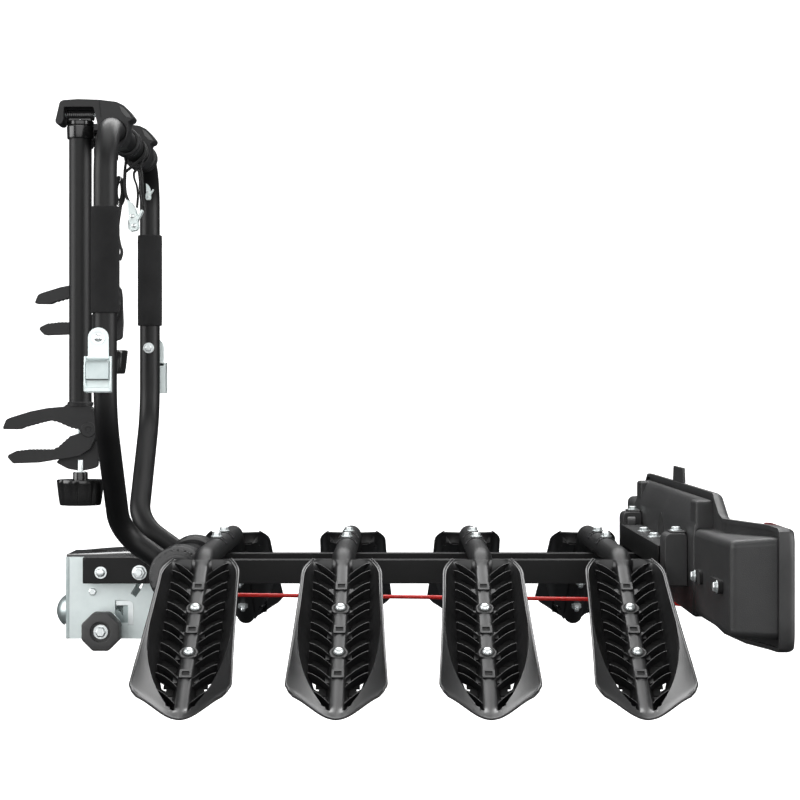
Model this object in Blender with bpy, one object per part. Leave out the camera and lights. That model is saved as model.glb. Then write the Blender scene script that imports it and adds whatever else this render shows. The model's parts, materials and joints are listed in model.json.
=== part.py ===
"""Tow-ball bicycle carrier for four bicycles, as an assembly of separate pieces.

Frame: the origin is the centre of the tow ball, +X points rearward away from the
car, +Y to the car's right side and +Z up. "left" is the car's left side (-Y).
"""

import math

import bmesh
import bpy
from mathutils import Matrix, Vector

GAP = 0.0003  # clearance between pieces that rest on each other

# Coupling
BALL_R = 0.025
CUP_R = 0.028
HOUSING_X = (-0.006, 0.133)
HOUSING_Y = 0.049
HOUSING_Z = (-0.038, 0.086)
PLATE = 0.003
TILT_PIVOT = (0.0507, 0.0645)
TILT_BOLT_R = 0.006
LATCH_PIN = (0.1084, 0.0645)
LATCH_PIN_R = 0.004
TILT_RANGE = math.radians(35)
WHEEL_AXIS = (0.0546, -0.021)
SCREW_R = 0.007
PAWL_PIVOT = (0.062, 0.044)

# Platform
RAIL_Y = (0.050, 0.080)
RAIL_Z = (0.048, 0.083)
RAIL_X = (0.024, 0.896)
RAIL_WALL = 0.002
TUBE_X = (0.2225, 0.418, 0.612, 0.8075)
TUBE_R = 0.016
TUBE_WALL = 0.002
TUBE_Z = RAIL_Z[1] + TUBE_R + GAP
TUBE_BEND_Y = 0.255
TUBE_END_Y = 0.537
TRAY_SLOPE = math.radians(30)
TRAY_INNER = (0.295, 0.1005)  # distance from the middle, height of the spine
TRAY_LENGTH = 0.350
TRAY_WALL = 0.003
BEAM_X = (0.863, 0.8967)
BEAM_Z = (RAIL_Z[1] + GAP, 0.117)
BEAM_Y = 0.2447
BRACKET_Y = (0.245, 0.300)
BRACKET_Z = (0.064, 0.137)
BOARD_Y = 0.597
BOARD_X = (0.898, 0.935, 0.991)  # front face, back of the middle, back of the lamps
BOARD_TOP = 0.197
CABLE_R = 0.003
CABLE_START = (0.130, 0.0, 0.0250)
CABLE_END = (0.915, 0.0, 0.0155)

# Folding frame
FOLD_PIVOT = (0.172, 0.064)
AXLE_R = 0.008
HUB_R = 0.044
HUB_Y = (0.082, 0.133)
KNOB_Y = (HUB_Y[1] + GAP, 0.146)
FRAME_R = 0.0165
FRAME_WALL = 0.002
FRAME_X = 0.083
FRAME_TOP = 0.713
LEG_Y = 0.262
GRIP_Z = (0.445, 0.595)
GRIP_R = 0.0202

# Bicycle arms: place along the bar and drop of the claw below the bar
ARMS = {"left": (-0.148, 0.0), "right": (0.119, 0.195)}
ARM_X = 0.0306
SWIVEL_Z = 0.739
CLAW_PIVOT = (0.044, 0.2794)
KNOB_R = 0.0345

SIDES = {"left": -1, "right": 1}

BLACK_STEEL = ("black_steel", (0.018, 0.018, 0.019), 0.45, 0.0)
BLACK_PLASTIC = ("black_plastic", (0.022, 0.022, 0.023), 0.5, 0.0)
GLOSS_PLASTIC = ("gloss_plastic", (0.012, 0.012, 0.013), 0.25, 0.0)
ZINC = ("zinc", (0.66, 0.72, 0.72), 0.35, 0.9)
GREY_STEEL = ("grey_steel", (0.36, 0.42, 0.42), 0.45, 0.8)
DARK_GREY = ("dark_grey_plastic", (0.07, 0.07, 0.07), 0.55, 0.0)
FOAM = ("foam", (0.03, 0.03, 0.03), 0.95, 0.0)
WEBBING = ("webbing", (0.015, 0.015, 0.015), 0.9, 0.0)
RED = ("red_plastic", (0.75, 0.02, 0.01), 0.35, 0.0)
LENS = ("red_lens", (0.55, 0.01, 0.01), 0.1, 0.0)


def clear_scene():
    for item in list(bpy.data.objects):
        bpy.data.objects.remove(item, do_unlink=True)


def material(finish):
    name, colour, roughness, metallic = finish
    found = bpy.data.materials.get(name)
    if found:
        return found
    made = bpy.data.materials.new(name)
    made.use_nodes = True
    shader = made.node_tree.nodes["Principled BSDF"]
    shader.inputs["Base Color"].default_value = (*colour, 1.0)
    shader.inputs["Roughness"].default_value = roughness
    shader.inputs["Metallic"].default_value = metallic
    return made


def add_object(name, bm, finish, origin=(0.0, 0.0, 0.0)):
    """An object from a bmesh given in world coordinates, with its origin at a point."""
    bmesh.ops.recalc_face_normals(bm, faces=bm.faces)
    bmesh.ops.translate(bm, verts=bm.verts, vec=-Vector(origin))
    mesh = bpy.data.meshes.new(name)
    bm.to_mesh(mesh)
    bm.free()
    mesh.shade_smooth()
    mesh.set_sharp_from_angle(angle=math.radians(35))
    obj = bpy.data.objects.new(name, mesh)
    obj.location = origin
    bpy.context.scene.collection.objects.link(obj)
    if finish:
        mesh.materials.append(material(finish))
    return obj


def boolean(obj, bm, operation="DIFFERENCE"):
    """Cuts a shape out of an object, or joins it on, and hides the tool shape."""
    tool = add_object(f"{obj.name}_tool_{len(obj.modifiers)}", bm, None)
    tool.hide_render = True
    tool.display_type = "WIRE"
    modifier = obj.modifiers.new(operation.lower(), "BOOLEAN")
    modifier.operation = operation
    modifier.solver = "EXACT"
    modifier.object = tool
    return obj


def loft(rings, closed=False):
    """A solid through rings of equal length, with a face on each end."""
    bm = bmesh.new()
    made = [[bm.verts.new(point) for point in ring] for ring in rings]
    pairs = list(zip(made, made[1:]))
    if closed:
        pairs.append((made[-1], made[0]))
    for ring, following in pairs:
        for i in range(len(ring)):
            j = (i + 1) % len(ring)
            bm.faces.new((ring[i], ring[j], following[j], following[i]))
    if not closed:
        bm.faces.new(made[0])
        bm.faces.new(made[-1])
    return bm


def prism(outline, axis, low, high):
    """An outline extruded along an axis; the outline's pairs are the other two axes."""

    def place(pair, along):
        values = list(pair)
        values.insert("XYZ".index(axis), along)
        return values

    return loft([[place(p, low) for p in outline], [place(p, high) for p in outline]])


def box(x, y, z):
    outline = [(x[0], y[0]), (x[1], y[0]), (x[1], y[1]), (x[0], y[1])]
    return prism(outline, "Z", z[0], z[1])


def circle(centre, radius, sides, start=0.0, sweep=2 * math.pi):
    steps = sides if abs(sweep - 2 * math.pi) < 1e-6 else sides - 1
    return [
        (
            centre[0] + radius * math.cos(start + sweep * i / steps),
            centre[1] + radius * math.sin(start + sweep * i / steps),
        )
        for i in range(sides)
    ]


def rod(axis, centre, radius, low, high, sides=16):
    return prism(circle(centre, radius, sides), axis, low, high)


def turned(axis, centre, profile, sides=20):
    """A solid turned about an axis line, from (place along the axis, radius) pairs."""
    rings = []
    for along, radius in profile:
        ring = []
        for pair in circle(centre, radius, sides):
            values = list(pair)
            values.insert("XYZ".index(axis), along)
            ring.append(values)
        rings.append(ring)
    return loft(rings)


def rounded_path(points, radii, step=math.radians(11)):
    """A polyline whose inner corners are replaced by arcs of the given radii."""
    points = [Vector(p) for p in points]
    path = [points[0]]
    for before, corner, after, radius in zip(points, points[1:], points[2:], radii):
        arrive = (corner - before).normalized()
        leave = (after - corner).normalized()
        turn = arrive.angle(leave)
        reach = radius * math.tan(turn / 2)
        start = corner - arrive * reach
        inward = (leave - arrive).normalized()
        centre = corner + inward * math.hypot(radius, reach)
        axis = arrive.cross(leave).normalized()
        count = max(2, math.ceil(turn / step))
        for i in range(count + 1):
            turned_by = Matrix.Rotation(turn * i / count, 3, axis)
            path.append(centre + turned_by @ (start - centre))
    path.append(points[-1])
    return path


def tube(path, radius, wall, sides):
    """A bent hollow tube along a path, open at both ends."""
    tangents = []
    for i, point in enumerate(path):
        before = path[max(i - 1, 0)]
        after = path[min(i + 1, len(path) - 1)]
        tangents.append((after - before).normalized())
    normal = tangents[0].orthogonal().normalized()
    frames = []
    for i, tangent in enumerate(tangents):
        if i:
            normal = tangents[i - 1].rotation_difference(tangent) @ normal
        normal = (normal - tangent * normal.dot(tangent)).normalized()
        frames.append((normal.copy(), tangent.cross(normal)))

    def ring(i, r):
        side, up = frames[i]
        return [path[i] + side * c + up * s for c, s in circle((0, 0), r, sides)]

    count = len(path)
    outside = [ring(i, radius) for i in range(count)]
    inside = [ring(i, radius - wall) for i in reversed(range(count))]
    return loft(outside + inside, closed=True)


def make_coupling():
    wall = PLATE
    shell = add_object("coupling_housing", box(HOUSING_X, (-HOUSING_Y, HOUSING_Y), HOUSING_Z), ZINC)
    inner_y = HOUSING_Y - wall
    boolean(shell, box((HOUSING_X[0] + wall, 0.2), (-inner_y, inner_y), (-0.1, HOUSING_Z[1] - wall)))
    boolean(shell, rod("X", (0.0, 0.0), CUP_R + 0.0007, -0.05, 0.0, 24))
    boolean(shell, box((-0.05, 0.0), (-0.0205, 0.0205), (-0.1, -0.01)))
    rear_corner = [(0.1255, 0.0475), (0.133, 0.0385), (0.2, 0.0385), (0.2, 0.2), (0.1255, 0.2)]
    boolean(shell, prism(rear_corner, "Y", -0.1, 0.1))
    boolean(shell, box((0.100, 0.2), (-inner_y, inner_y), (0.05, 0.2)))
    boolean(shell, box((0.068, 0.087), (-0.1, -0.04), (-0.014, 0.020)))
    boolean(shell, rod("Y", TILT_PIVOT, TILT_BOLT_R + GAP, -0.1, 0.1))
    boolean(shell, latch_slot())
    for low, high in ((-0.084, -HOUSING_Y + 0.001), (HOUSING_Y - 0.001, 0.058)):
        boolean(shell, rod("Y", WHEEL_AXIS, 0.012, low, high), "UNION")
    boolean(shell, rod("Y", WHEEL_AXIS, SCREW_R + GAP, -0.1, 0.1))

    crown = [(-0.0497, 0.0863), (0.0497, 0.0863), (0.0497, 0.0905), (0.028, 0.0945)]
    crown += [(0.0, 0.0958), (-0.028, 0.0945), (-0.0497, 0.0905)]
    add_object("coupling_cover", prism(crown, "X", -0.0055, 0.100), BLACK_PLASTIC)
    add_object("ball_cup", half_cup(front=True), GREY_STEEL)
    boolean(bpy.data.objects["ball_cup"], neck_slot())
    jaw = add_object("ball_jaw", half_cup(front=False), GREY_STEEL, (0.020, 0.0, 0.0))
    boolean(jaw, neck_slot())


def latch_slot():
    """The curved slot that the latch pin follows about the tilt pivot."""
    reach = LATCH_PIN[0] - TILT_PIVOT[0]
    half = LATCH_PIN_R + 0.0006
    margin = half / reach
    outer = circle(TILT_PIVOT, reach + half, 12, -TILT_RANGE - margin, TILT_RANGE + 2 * margin)
    inner = circle(TILT_PIVOT, reach - half, 12, -TILT_RANGE - margin, TILT_RANGE + 2 * margin)
    return prism(outer + inner[::-1], "Y", -0.1, 0.1)


def half_cup(front):
    """Half of the round shell that grips the tow ball, in front of or behind it."""
    start = math.pi if front else 0.0
    limit = math.radians(84)
    inner_r = BALL_R + 0.0004
    steps = 8
    angles = [-limit + 2 * limit * i / steps for i in range(steps + 1)]
    outside = [(CUP_R * math.sin(a), CUP_R * math.cos(a)) for a in angles]
    inside = [(inner_r * math.sin(a), inner_r * math.cos(a)) for a in reversed(angles)]
    rings = []
    for i in range(steps + 1):
        turn = start + math.radians(-86 + 172 * i / steps)
        rings.append(
            [(r * math.cos(turn), r * math.sin(turn), z) for z, r in outside + inside]
        )
    return loft(rings)


def neck_slot():
    """Room below the ball for its neck."""
    return box((-0.0165, 0.0165), (-0.0165, 0.0165), (-0.05, -0.012))


def make_coupling_controls():
    end = 0.066
    screw = [(-0.1120, 0.0098), (-0.1060, 0.0098), (-0.1060, SCREW_R), (end, SCREW_R)]
    place = (WHEEL_AXIS[0], 0.0, WHEEL_AXIS[1])
    add_object("clamp_screw", turned("Y", WHEEL_AXIS, screw, 12), ZINC, place)
    lobes = []
    for i in range(28):
        angle = 2 * math.pi * i / 28
        radius = 0.0285 + 0.0018 * math.cos(7 * angle)
        lobes.append(
            (WHEEL_AXIS[0] + radius * math.cos(angle), WHEEL_AXIS[1] + radius * math.sin(angle))
        )
    wheel = add_object("hand_wheel", prism(lobes, "Y", -0.115, -0.0845), DARK_GREY, place)
    boolean(wheel, rod("Y", WHEEL_AXIS, 0.015, -0.13, -0.1055))
    boolean(wheel, rod("Y", WHEEL_AXIS, SCREW_R + GAP, -0.13, 0.0))

    bolt = [(-0.0885, 0.0065), (-0.0835, 0.009), (-0.0803, 0.009), (-0.0803, TILT_BOLT_R)]
    bolt += [(-y, r) for y, r in reversed(bolt)]
    add_object("tilt_pivot_bolt", turned("Y", TILT_PIVOT, bolt, 12), ZINC)
    pin = [(-0.0880, 0.007), (-0.0850, 0.011), (-0.0803, 0.011), (-0.0803, LATCH_PIN_R)]
    pin += [(-y, r) for y, r in reversed(pin)]
    add_object("latch_pin", turned("Y", LATCH_PIN, pin, 12), ZINC, (LATCH_PIN[0], 0, LATCH_PIN[1]))

    outline = [(0.056, 0.051), (0.066, 0.053), (0.098, 0.0565), (0.103, 0.0590)]
    outline += [(0.1135, 0.0585), (0.116, 0.053), (0.106, 0.049), (0.066, 0.0365), (0.056, 0.0375)]
    place = (PAWL_PIVOT[0], 0.0, PAWL_PIVOT[1])
    pawl = add_object("latch_pawl", prism(outline, "Y", -0.004, 0.004), ZINC, place)
    boolean(pawl, rod("Y", PAWL_PIVOT, 0.003, -0.0455, 0.0455, 10), "UNION")


def make_rails():
    for side, sign in SIDES.items():
        y = sorted((sign * RAIL_Y[0], sign * RAIL_Y[1]))
        rail = add_object(f"rail_{side}", box(RAIL_X, y, RAIL_Z), BLACK_STEEL)
        inner_y = (y[0] + RAIL_WALL, y[1] - RAIL_WALL)
        inner_z = (RAIL_Z[0] + RAIL_WALL, RAIL_Z[1] - RAIL_WALL)
        boolean(rail, box((-0.1, 1.1), inner_y, inner_z))
        for centre, radius in (
            (TILT_PIVOT, TILT_BOLT_R),
            (LATCH_PIN, LATCH_PIN_R),
            (FOLD_PIVOT, AXLE_R),
        ):
            boolean(rail, rod("Y", centre, radius + GAP, y[0] - 0.01, y[1] + 0.01))


def make_wheel_tubes():
    out, height = TUBE_BEND_Y, TUBE_Z
    drop = (TUBE_END_Y - out) * math.tan(TRAY_SLOPE)
    for number, x in enumerate(TUBE_X, 1):
        points = [
            (x, -TUBE_END_Y, height - drop),
            (x, -out, height),
            (x, out, height),
            (x, TUBE_END_Y, height - drop),
        ]
        path = rounded_path(points, (0.06, 0.06), math.radians(16))
        add_object(f"wheel_tube_{number}", tube(path, TUBE_R, TUBE_WALL, 10), BLACK_STEEL)


def tray_profile(along):
    """Half width and rim height of a tray at a share of its length, inner end 0."""
    corner = 0.009 * max(0.0, 1 - along / 0.06)
    return 0.053 + 0.0105 * along ** 1.5 - corner, 0.004 + 0.027 * along


def make_trays():
    rows = (0.0, 0.06, 0.25, 0.5, 0.75, 0.92, 1.0)
    across = (-1.0, -0.8, -0.5, -0.2, 0.2, 0.5, 0.8, 1.0)
    for number, x in enumerate(TUBE_X, 1):
        for side, sign in SIDES.items():
            outward = Vector((0.0, sign * math.cos(TRAY_SLOPE), -math.sin(TRAY_SLOPE)))
            normal = Vector((0.0, sign * math.sin(TRAY_SLOPE), math.cos(TRAY_SLOPE)))
            start = Vector((x, sign * TRAY_INNER[0], TRAY_INNER[1]))
            rings = []
            for share in rows:
                half, rim = tray_profile(share)
                top = []
                bottom = []
                for w in across:
                    along = share * (TRAY_LENGTH - 0.020 * w * w)
                    height = rim * w * w
                    point = start + outward * along + normal * height
                    point.x += half * w
                    top.append(point)
                    bottom.append(point - normal * TRAY_WALL)
                rings.append(top + bottom[::-1])
            add_object(f"tray_{number}_{side}", loft(rings), GLOSS_PLASTIC)


def make_rear():
    add_object("rear_crossbeam", box(BEAM_X, (-BEAM_Y, BEAM_Y), BEAM_Z), BLACK_STEEL)
    beam = bpy.data.objects["rear_crossbeam"]
    wall = 0.0025
    inner_x = (BEAM_X[0] + wall, BEAM_X[1] - wall)
    boolean(beam, box(inner_x, (-0.5, 0.5), (BEAM_Z[0] + wall, BEAM_Z[1] - wall)))
    for side, sign in SIDES.items():
        y = sorted((sign * BRACKET_Y[0], sign * BRACKET_Y[1]))
        x0, x1 = BEAM_X[0] + 0.003, 0.8977
        z0, z1 = BRACKET_Z
        outline = [(x0, z0), (x1, z0), (x1, z1), (x0 + 0.009, z1), (x0 + 0.003, z1 - 0.003)]
        outline.append((x0, z1 - 0.009))
        add_object(f"board_bracket_{side}", prism(outline, "Y", y[0], y[1]), BLACK_PLASTIC)


def board_outline(grow):
    """The middle panel's outline, grown outward by a margin."""
    half = [(0.0, BOARD_TOP), (0.366, BOARD_TOP), (0.412, 0.165), (0.440, 0.160)]
    half += [(0.440, 0.023), (0.0, 0.023)]
    points = []
    for y, z in half:
        points.append((y + (grow if y else 0.0), z + (grow if z > 0.1 else -grow)))
    mirrored = [(-y, z) for y, z in reversed(points) if y]
    return points + mirrored


def lamp_outline(grow):
    """The right lamp housing's outline with cut corners, grown by a margin."""
    y0, y1 = 0.4303, BOARD_Y
    z0, z1 = 0.008, 0.165
    c = 0.014
    y0, y1, z0, z1 = y0 - grow, y1 + grow, z0 - grow, z1 + grow
    return [(y0, z0), (y1 - c, z0), (y1, z0 + c), (y1, z1 - c), (y1 - c, z1), (y0, z1)]


def make_light_board():
    front, middle, back = BOARD_X
    shell = add_object("board_shell", prism(board_outline(0.0), "X", front, middle), BLACK_PLASTIC)
    for sign in SIDES.values():
        rim = [(sign * y, z) for y, z in lamp_outline(0.0)]
        body_y = sorted((sign * 0.4303, sign * 0.590))
        boolean(shell, box((0.911, 0.972), body_y, (0.023, 0.147)), "UNION")
        boolean(shell, prism(rim, "X", 0.970, back), "UNION")
    boolean(shell, prism(board_outline(-0.004), "X", front + 0.004, back + 0.1))
    for sign in SIDES.values():
        cavity_y = sorted((sign * 0.4333, sign * 0.587))
        boolean(shell, box((0.914, 0.980), cavity_y, (0.026, 0.144)))
        seat = [(sign * y, z) for y, z in lamp_outline(-0.004)]
        boolean(shell, prism(seat, "X", 0.975, back + 0.1))
    arch = [(-0.043, 0.113), (0.043, 0.113), (0.036, 0.135), (0.0, 0.147), (-0.036, 0.135)]
    boolean(shell, prism(arch, "X", 0.85, 0.915))

    panel = prism(board_outline(-0.0043), "X", middle - 0.008, middle - 0.004)
    add_object("plate_panel", panel, BLACK_PLASTIC)
    for side, sign in SIDES.items():
        lens = [(sign * y, z) for y, z in lamp_outline(-0.0043)]
        add_object(f"lamp_lens_{side}", prism(lens, "X", 0.9803, back - 0.001), LENS)
    clip = box((0.924, 0.928), (-0.060, 0.060), (BOARD_TOP + GAP, 0.220))
    add_object("plate_clip", clip, BLACK_PLASTIC, (0.928, 0.0, BOARD_TOP + 2 * GAP))


def make_release():
    start, end = Vector(CABLE_START), Vector(CABLE_END)
    curve = bpy.data.curves.new("release_cable", "CURVE")
    curve.dimensions = "3D"
    curve.bevel_depth = CABLE_R
    curve.bevel_resolution = 2
    curve.use_fill_caps = True
    count = 12
    spline = curve.splines.new("POLY")
    spline.points.add(count - 1)
    for i, point in enumerate(spline.points):
        point.co = (*start.lerp(end, i / (count - 1)), 1.0)
    cable = bpy.data.objects.new("release_cable", curve)
    bpy.context.scene.collection.objects.link(cable)
    curve.materials.append(material(RED))

    ring = [(0.9153, -0.012), (0.9153, 0.012), (0.926, 0.030), (0.950, 0.032), (0.958, 0.024)]
    ring += [(0.958, -0.024), (0.950, -0.032), (0.926, -0.030)]
    handle = add_object("release_handle", prism(ring, "Z", 0.0085, 0.0205), RED)
    hole = [(0.930, -0.020), (0.930, 0.020), (0.948, 0.022), (0.948, -0.022)]
    boolean(handle, prism(hole, "Z", -0.1, 0.1))


def frame_path():
    half = [
        (FRAME_X, -LEG_Y, FRAME_TOP),
        (FRAME_X, -LEG_Y, 0.299),
        (FRAME_X, -0.108, 0.128),
        (FOLD_PIVOT[0], -0.108, FOLD_PIVOT[1]),
    ]
    radii = (0.075, 0.120, 0.060)
    points = half[::-1] + [(x, -y, z) for x, y, z in half]
    return rounded_path(points, radii[::-1] + radii, math.radians(19))


def make_frame():
    place = (FOLD_PIVOT[0], 0.0, FOLD_PIVOT[1])
    frame = add_object("u_frame", tube(frame_path(), FRAME_R, FRAME_WALL, 10), BLACK_STEEL, place)
    for side, sign in SIDES.items():
        y = sorted((sign * (HUB_Y[0] - 0.010), sign * (HUB_Y[1] + 0.010)))
        boolean(frame, rod("Y", FOLD_PIVOT, HUB_R + GAP, y[0], y[1], 20))
        make_hub(side, sign, place)
        make_grip(side, sign)
        make_leg_buckle(side, sign)
    axle = [(-0.150, 0.010), (-0.1465, 0.013), (-0.1465, AXLE_R)]
    axle += [(-y, r) for y, r in reversed(axle)]
    add_object("pivot_axle", turned("Y", FOLD_PIVOT, axle, 12), ZINC)
    centre = turned("Y", FOLD_PIVOT, [(-0.044, 0.036), (0.044, 0.036)], 24)
    add_object("hub_centre", centre, BLACK_PLASTIC)
    boolean(bpy.data.objects["hub_centre"], rod("Y", FOLD_PIVOT, AXLE_R + GAP, -0.1, 0.1))
    for side, y in (("left", -0.034), ("right", 0.173)):
        make_collar(side, y)


def make_hub(side, sign, place):
    count = 3
    width = (HUB_Y[1] - HUB_Y[0]) / count
    profile = []
    for i in range(count):
        low = HUB_Y[0] + i * width
        profile += [(low, HUB_R - 0.004), (low + 0.004, HUB_R), (low + width - 0.004, HUB_R)]
    profile.append((HUB_Y[1], HUB_R - 0.004))
    hub = turned("Y", FOLD_PIVOT, [(sign * y, r) for y, r in profile], 20)
    made = add_object(f"hub_{side}", hub, BLACK_PLASTIC, place)
    boolean(made, rod("Y", FOLD_PIVOT, AXLE_R + GAP, -0.2, 0.2))
    teeth = []
    for i in range(32):
        radius = 0.040 if i % 4 < 3 else 0.0375
        angle = 2 * math.pi * i / 32
        teeth.append(
            (FOLD_PIVOT[0] + radius * math.cos(angle), FOLD_PIVOT[1] + radius * math.sin(angle))
        )
    y = sorted((sign * KNOB_Y[0], sign * KNOB_Y[1]))
    knob = add_object(f"hinge_knob_{side}", prism(teeth, "Y", y[0], y[1]), BLACK_PLASTIC, place)
    boolean(knob, rod("Y", FOLD_PIVOT, AXLE_R + GAP, -0.2, 0.2))


def sleeve(axis, centre, outer, inner, low, high, sides=20):
    profile = [(low, outer), (high, outer), (high, inner), (low, inner)]
    rings = []
    for along, radius in profile:
        ring = []
        for pair in circle(centre, radius, sides):
            values = list(pair)
            values.insert("XYZ".index(axis), along)
            ring.append(values)
        rings.append(ring)
    return loft(rings, closed=True)


def make_grip(side, sign):
    grip = sleeve("Z", (FRAME_X, sign * LEG_Y), GRIP_R, FRAME_R + 0.0009, *GRIP_Z)
    add_object(f"foam_grip_{side}", grip, FOAM)


def make_collar(side, y):
    collar = sleeve("Y", (FRAME_X, FRAME_TOP), 0.0215, FRAME_R + 0.0009, y - 0.012, y + 0.012)
    add_object(f"bar_collar_{side}", collar, DARK_GREY)


def make_leg_buckle(side, sign):
    """A cam buckle for the frame strap on the outer face of a leg."""
    x = FRAME_X + sign * 0.007
    skin = LEG_Y + FRAME_R + GAP

    def span(low, high):
        return sorted((sign * (skin + low), sign * (skin + high)))

    tab = [(x - 0.0145, 0.380), (x + 0.0145, 0.380), (x + 0.0145, 0.410)]
    tab += [(x + 0.0145 * math.cos(a), 0.410 + 0.0145 * math.sin(a)) for a in (0.8, 1.57, 2.34)]
    tab.append((x - 0.0145, 0.410))
    low, high = span(0.0, 0.003)
    body = add_object(f"leg_buckle_{side}", prism(tab, "Y", low, high), ZINC)
    boolean(body, box((x - 0.0193, x + 0.0193), span(0.0, 0.012), (0.333, 0.383)), "UNION")
    boolean(body, box((x - 0.0160, x + 0.0160), span(0.003, 0.02), (0.337, 0.379)))
    hinge = (x, sign * (skin + 0.0085), 0.3735)
    lever = prism(
        [(sign * (skin + 0.0045), 0.377), (sign * (skin + 0.0125), 0.377)]
        + [(sign * (skin + 0.0150), 0.350), (sign * (skin + 0.0125), 0.350)]
        + [(sign * (skin + 0.0100), 0.368), (sign * (skin + 0.0045), 0.370)],
        "X",
        x - 0.0155,
        x + 0.0155,
    )
    add_object(f"buckle_lever_{side}", lever, ZINC, hinge)


def make_arm(side, place_y, lift):
    head_half = 0.022
    head = [(-0.003, 0.727), (0.004, 0.756), (0.020, 0.7585), (0.061, 0.7575), (0.088, 0.754)]
    head += [(0.097, 0.750), (0.106, 0.741), (0.113, 0.731), (0.110, 0.728), (0.107, 0.714)]
    head += [(0.102, 0.700), (0.093, 0.691), (0.083, 0.688), (0.072, 0.690), (0.063, 0.698)]
    head += [(0.060, 0.712), (0.058, 0.7245), (0.0525, 0.7485), (0.009, 0.7485)]
    head += [(0.009, 0.723), (-0.001, 0.7235)]
    y = (place_y - head_half, place_y + head_half)
    bar = (FRAME_X, 0.0, FRAME_TOP)
    made = add_object(f"arm_head_{side}", prism(head, "Y", *y), DARK_GREY, bar)
    boolean(made, rod("Y", (FRAME_X, FRAME_TOP), FRAME_R + 0.0009, y[0] - 0.01, y[1] + 0.01, 20))

    bottom = CLAW_PIVOT[1] + 0.0371 + lift
    swivel = (ARM_X, place_y, SWIVEL_Z)
    stack = [(bottom, 0.0165), (0.705, 0.0165), (0.705, 0.019), (0.7225, 0.0195), (0.7300, 0.0195)]
    arm = add_object(f"arm_{side}", turned("Z", (ARM_X, place_y), stack, 20), BLACK_STEEL, swivel)
    boolean(arm, rod("Z", (ARM_X, place_y), 0.0145, bottom - 0.1, 0.700))
    x = (0.0105, 0.0512)
    boolean(arm, rod("X", (place_y, SWIVEL_Z), 0.0082, *x), "UNION")
    boolean(arm, box((0.014, 0.0472), (place_y - 0.006, place_y + 0.006), (0.728, 0.738)), "UNION")
    make_claw(side, place_y, lift)


def shifted(outline, lift):
    return [(x, z + lift) for x, z in outline]


def make_claw(side, place_y, lift):
    half = 0.012
    split = place_y + 0.0005  # the jaw is on the near side of this plane
    pivot = (CLAW_PIVOT[0], CLAW_PIVOT[1] + lift)
    upper = [(-0.080, 0.280), (-0.075, 0.2935), (-0.041, 0.3055), (0.0094, 0.3128)]
    upper += [(0.012, 0.3162), (0.050, 0.3162), (0.055, 0.305), (0.056, 0.290)]
    under = [(0.031, 0.279), (0.019, 0.2814), (0.0, 0.2898), (-0.012, 0.2922)]
    under += [(-0.027, 0.2886), (-0.053, 0.2814)]
    web = [(0.056, 0.225), (0.048, 0.2217), (0.031, 0.2186), (0.012, 0.2217)]
    web += [(-0.006, 0.2314), (0.008, 0.243), (0.024, 0.262)]
    near = shifted(upper + [(0.056, 0.2794)] + under, lift)
    far = shifted(upper + web + under, lift)
    claw = add_object(f"claw_{side}", prism(near, "Y", place_y - half, place_y + half), DARK_GREY)
    boolean(claw, prism(far, "Y", split + GAP, place_y + half), "UNION")
    spigot = (0.306 + lift, 0.335 + lift)
    boolean(claw, rod("Z", (ARM_X, place_y), 0.0142, *spigot), "UNION")
    boolean(claw, rod("Y", pivot, 0.0120, place_y - 0.03, split + GAP, 24))
    boolean(claw, rod("Y", pivot, 0.0053, place_y - 0.03, place_y + 0.03, 12))
    boolean(claw, rod("Z", (ARM_X, place_y), 0.0045, 0.2 + lift, 0.245 + lift, 12))

    jaw_line = [(0.031, 0.2745), (0.019, 0.2705), (0.0, 0.2536), (-0.0075, 0.250)]
    jaw_line += [(-0.041, 0.250), (-0.063, 0.2475), (-0.0727, 0.2427), (-0.0739, 0.239)]
    jaw_line += [(-0.0655, 0.230), (-0.027, 0.2314), (0.012, 0.238), (0.031, 0.2415)]
    jaw_line += [(0.046, 0.251), (0.053, 0.265), (0.0545, 0.2775)]
    origin = (pivot[0], place_y, pivot[1])
    outline = shifted(jaw_line, lift)
    jaw = add_object(
        f"claw_jaw_{side}", prism(outline, "Y", place_y - half, split), DARK_GREY, origin
    )
    tip = [(0.0, 0.2536), (-0.0075, 0.250), (-0.041, 0.250), (-0.063, 0.2475)]
    tip += [(-0.0727, 0.2427), (-0.0739, 0.239), (-0.0655, 0.230), (-0.027, 0.2314)]
    tip_box = shifted([p for p in tip if p[0] < -0.016] + [(-0.016, 0.2333), (-0.016, 0.250)], lift)
    boolean(jaw, prism(tip_box, "Y", place_y - 0.002, place_y + half), "UNION")
    boolean(jaw, rod("Y", pivot, 0.0112, place_y - half, split, 24), "UNION")
    boolean(jaw, rod("Y", pivot, 0.0050, place_y - 0.005, place_y + 0.011, 12), "UNION")
    slot = box((0.020, 0.040), (place_y - 0.0055, place_y + 0.02), (0.2 + lift, 0.252 + lift))
    boolean(jaw, slot)

    knob = [(0.169, 0.029), (0.172, 0.0305), (0.203, KNOB_R), (0.2063, KNOB_R - 0.003)]
    knob += [(0.2063, 0.011), (0.2181, 0.011), (0.2181, 0.004), (0.236, 0.004)]
    knob = [(z + lift, r) for z, r in knob]
    centre = (ARM_X, place_y, 0.19 + lift)
    add_object(f"claw_knob_{side}", turned("Z", (ARM_X, place_y), knob, 20), DARK_GREY, centre)


def make_straps():
    """Webbing loops with their buckles, hanging from the bar: outer shapes only."""
    spans = {
        "left": ((0.062, 0.104), (0.045, 0.063), (0.535, 0.690)),
        "right": ((0.086, 0.110), (0.068, 0.084), (0.590, 0.690)),
    }
    for side, (x, y, z) in spans.items():
        add_object(f"strap_{side}", box(x, y, z), WEBBING)


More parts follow.
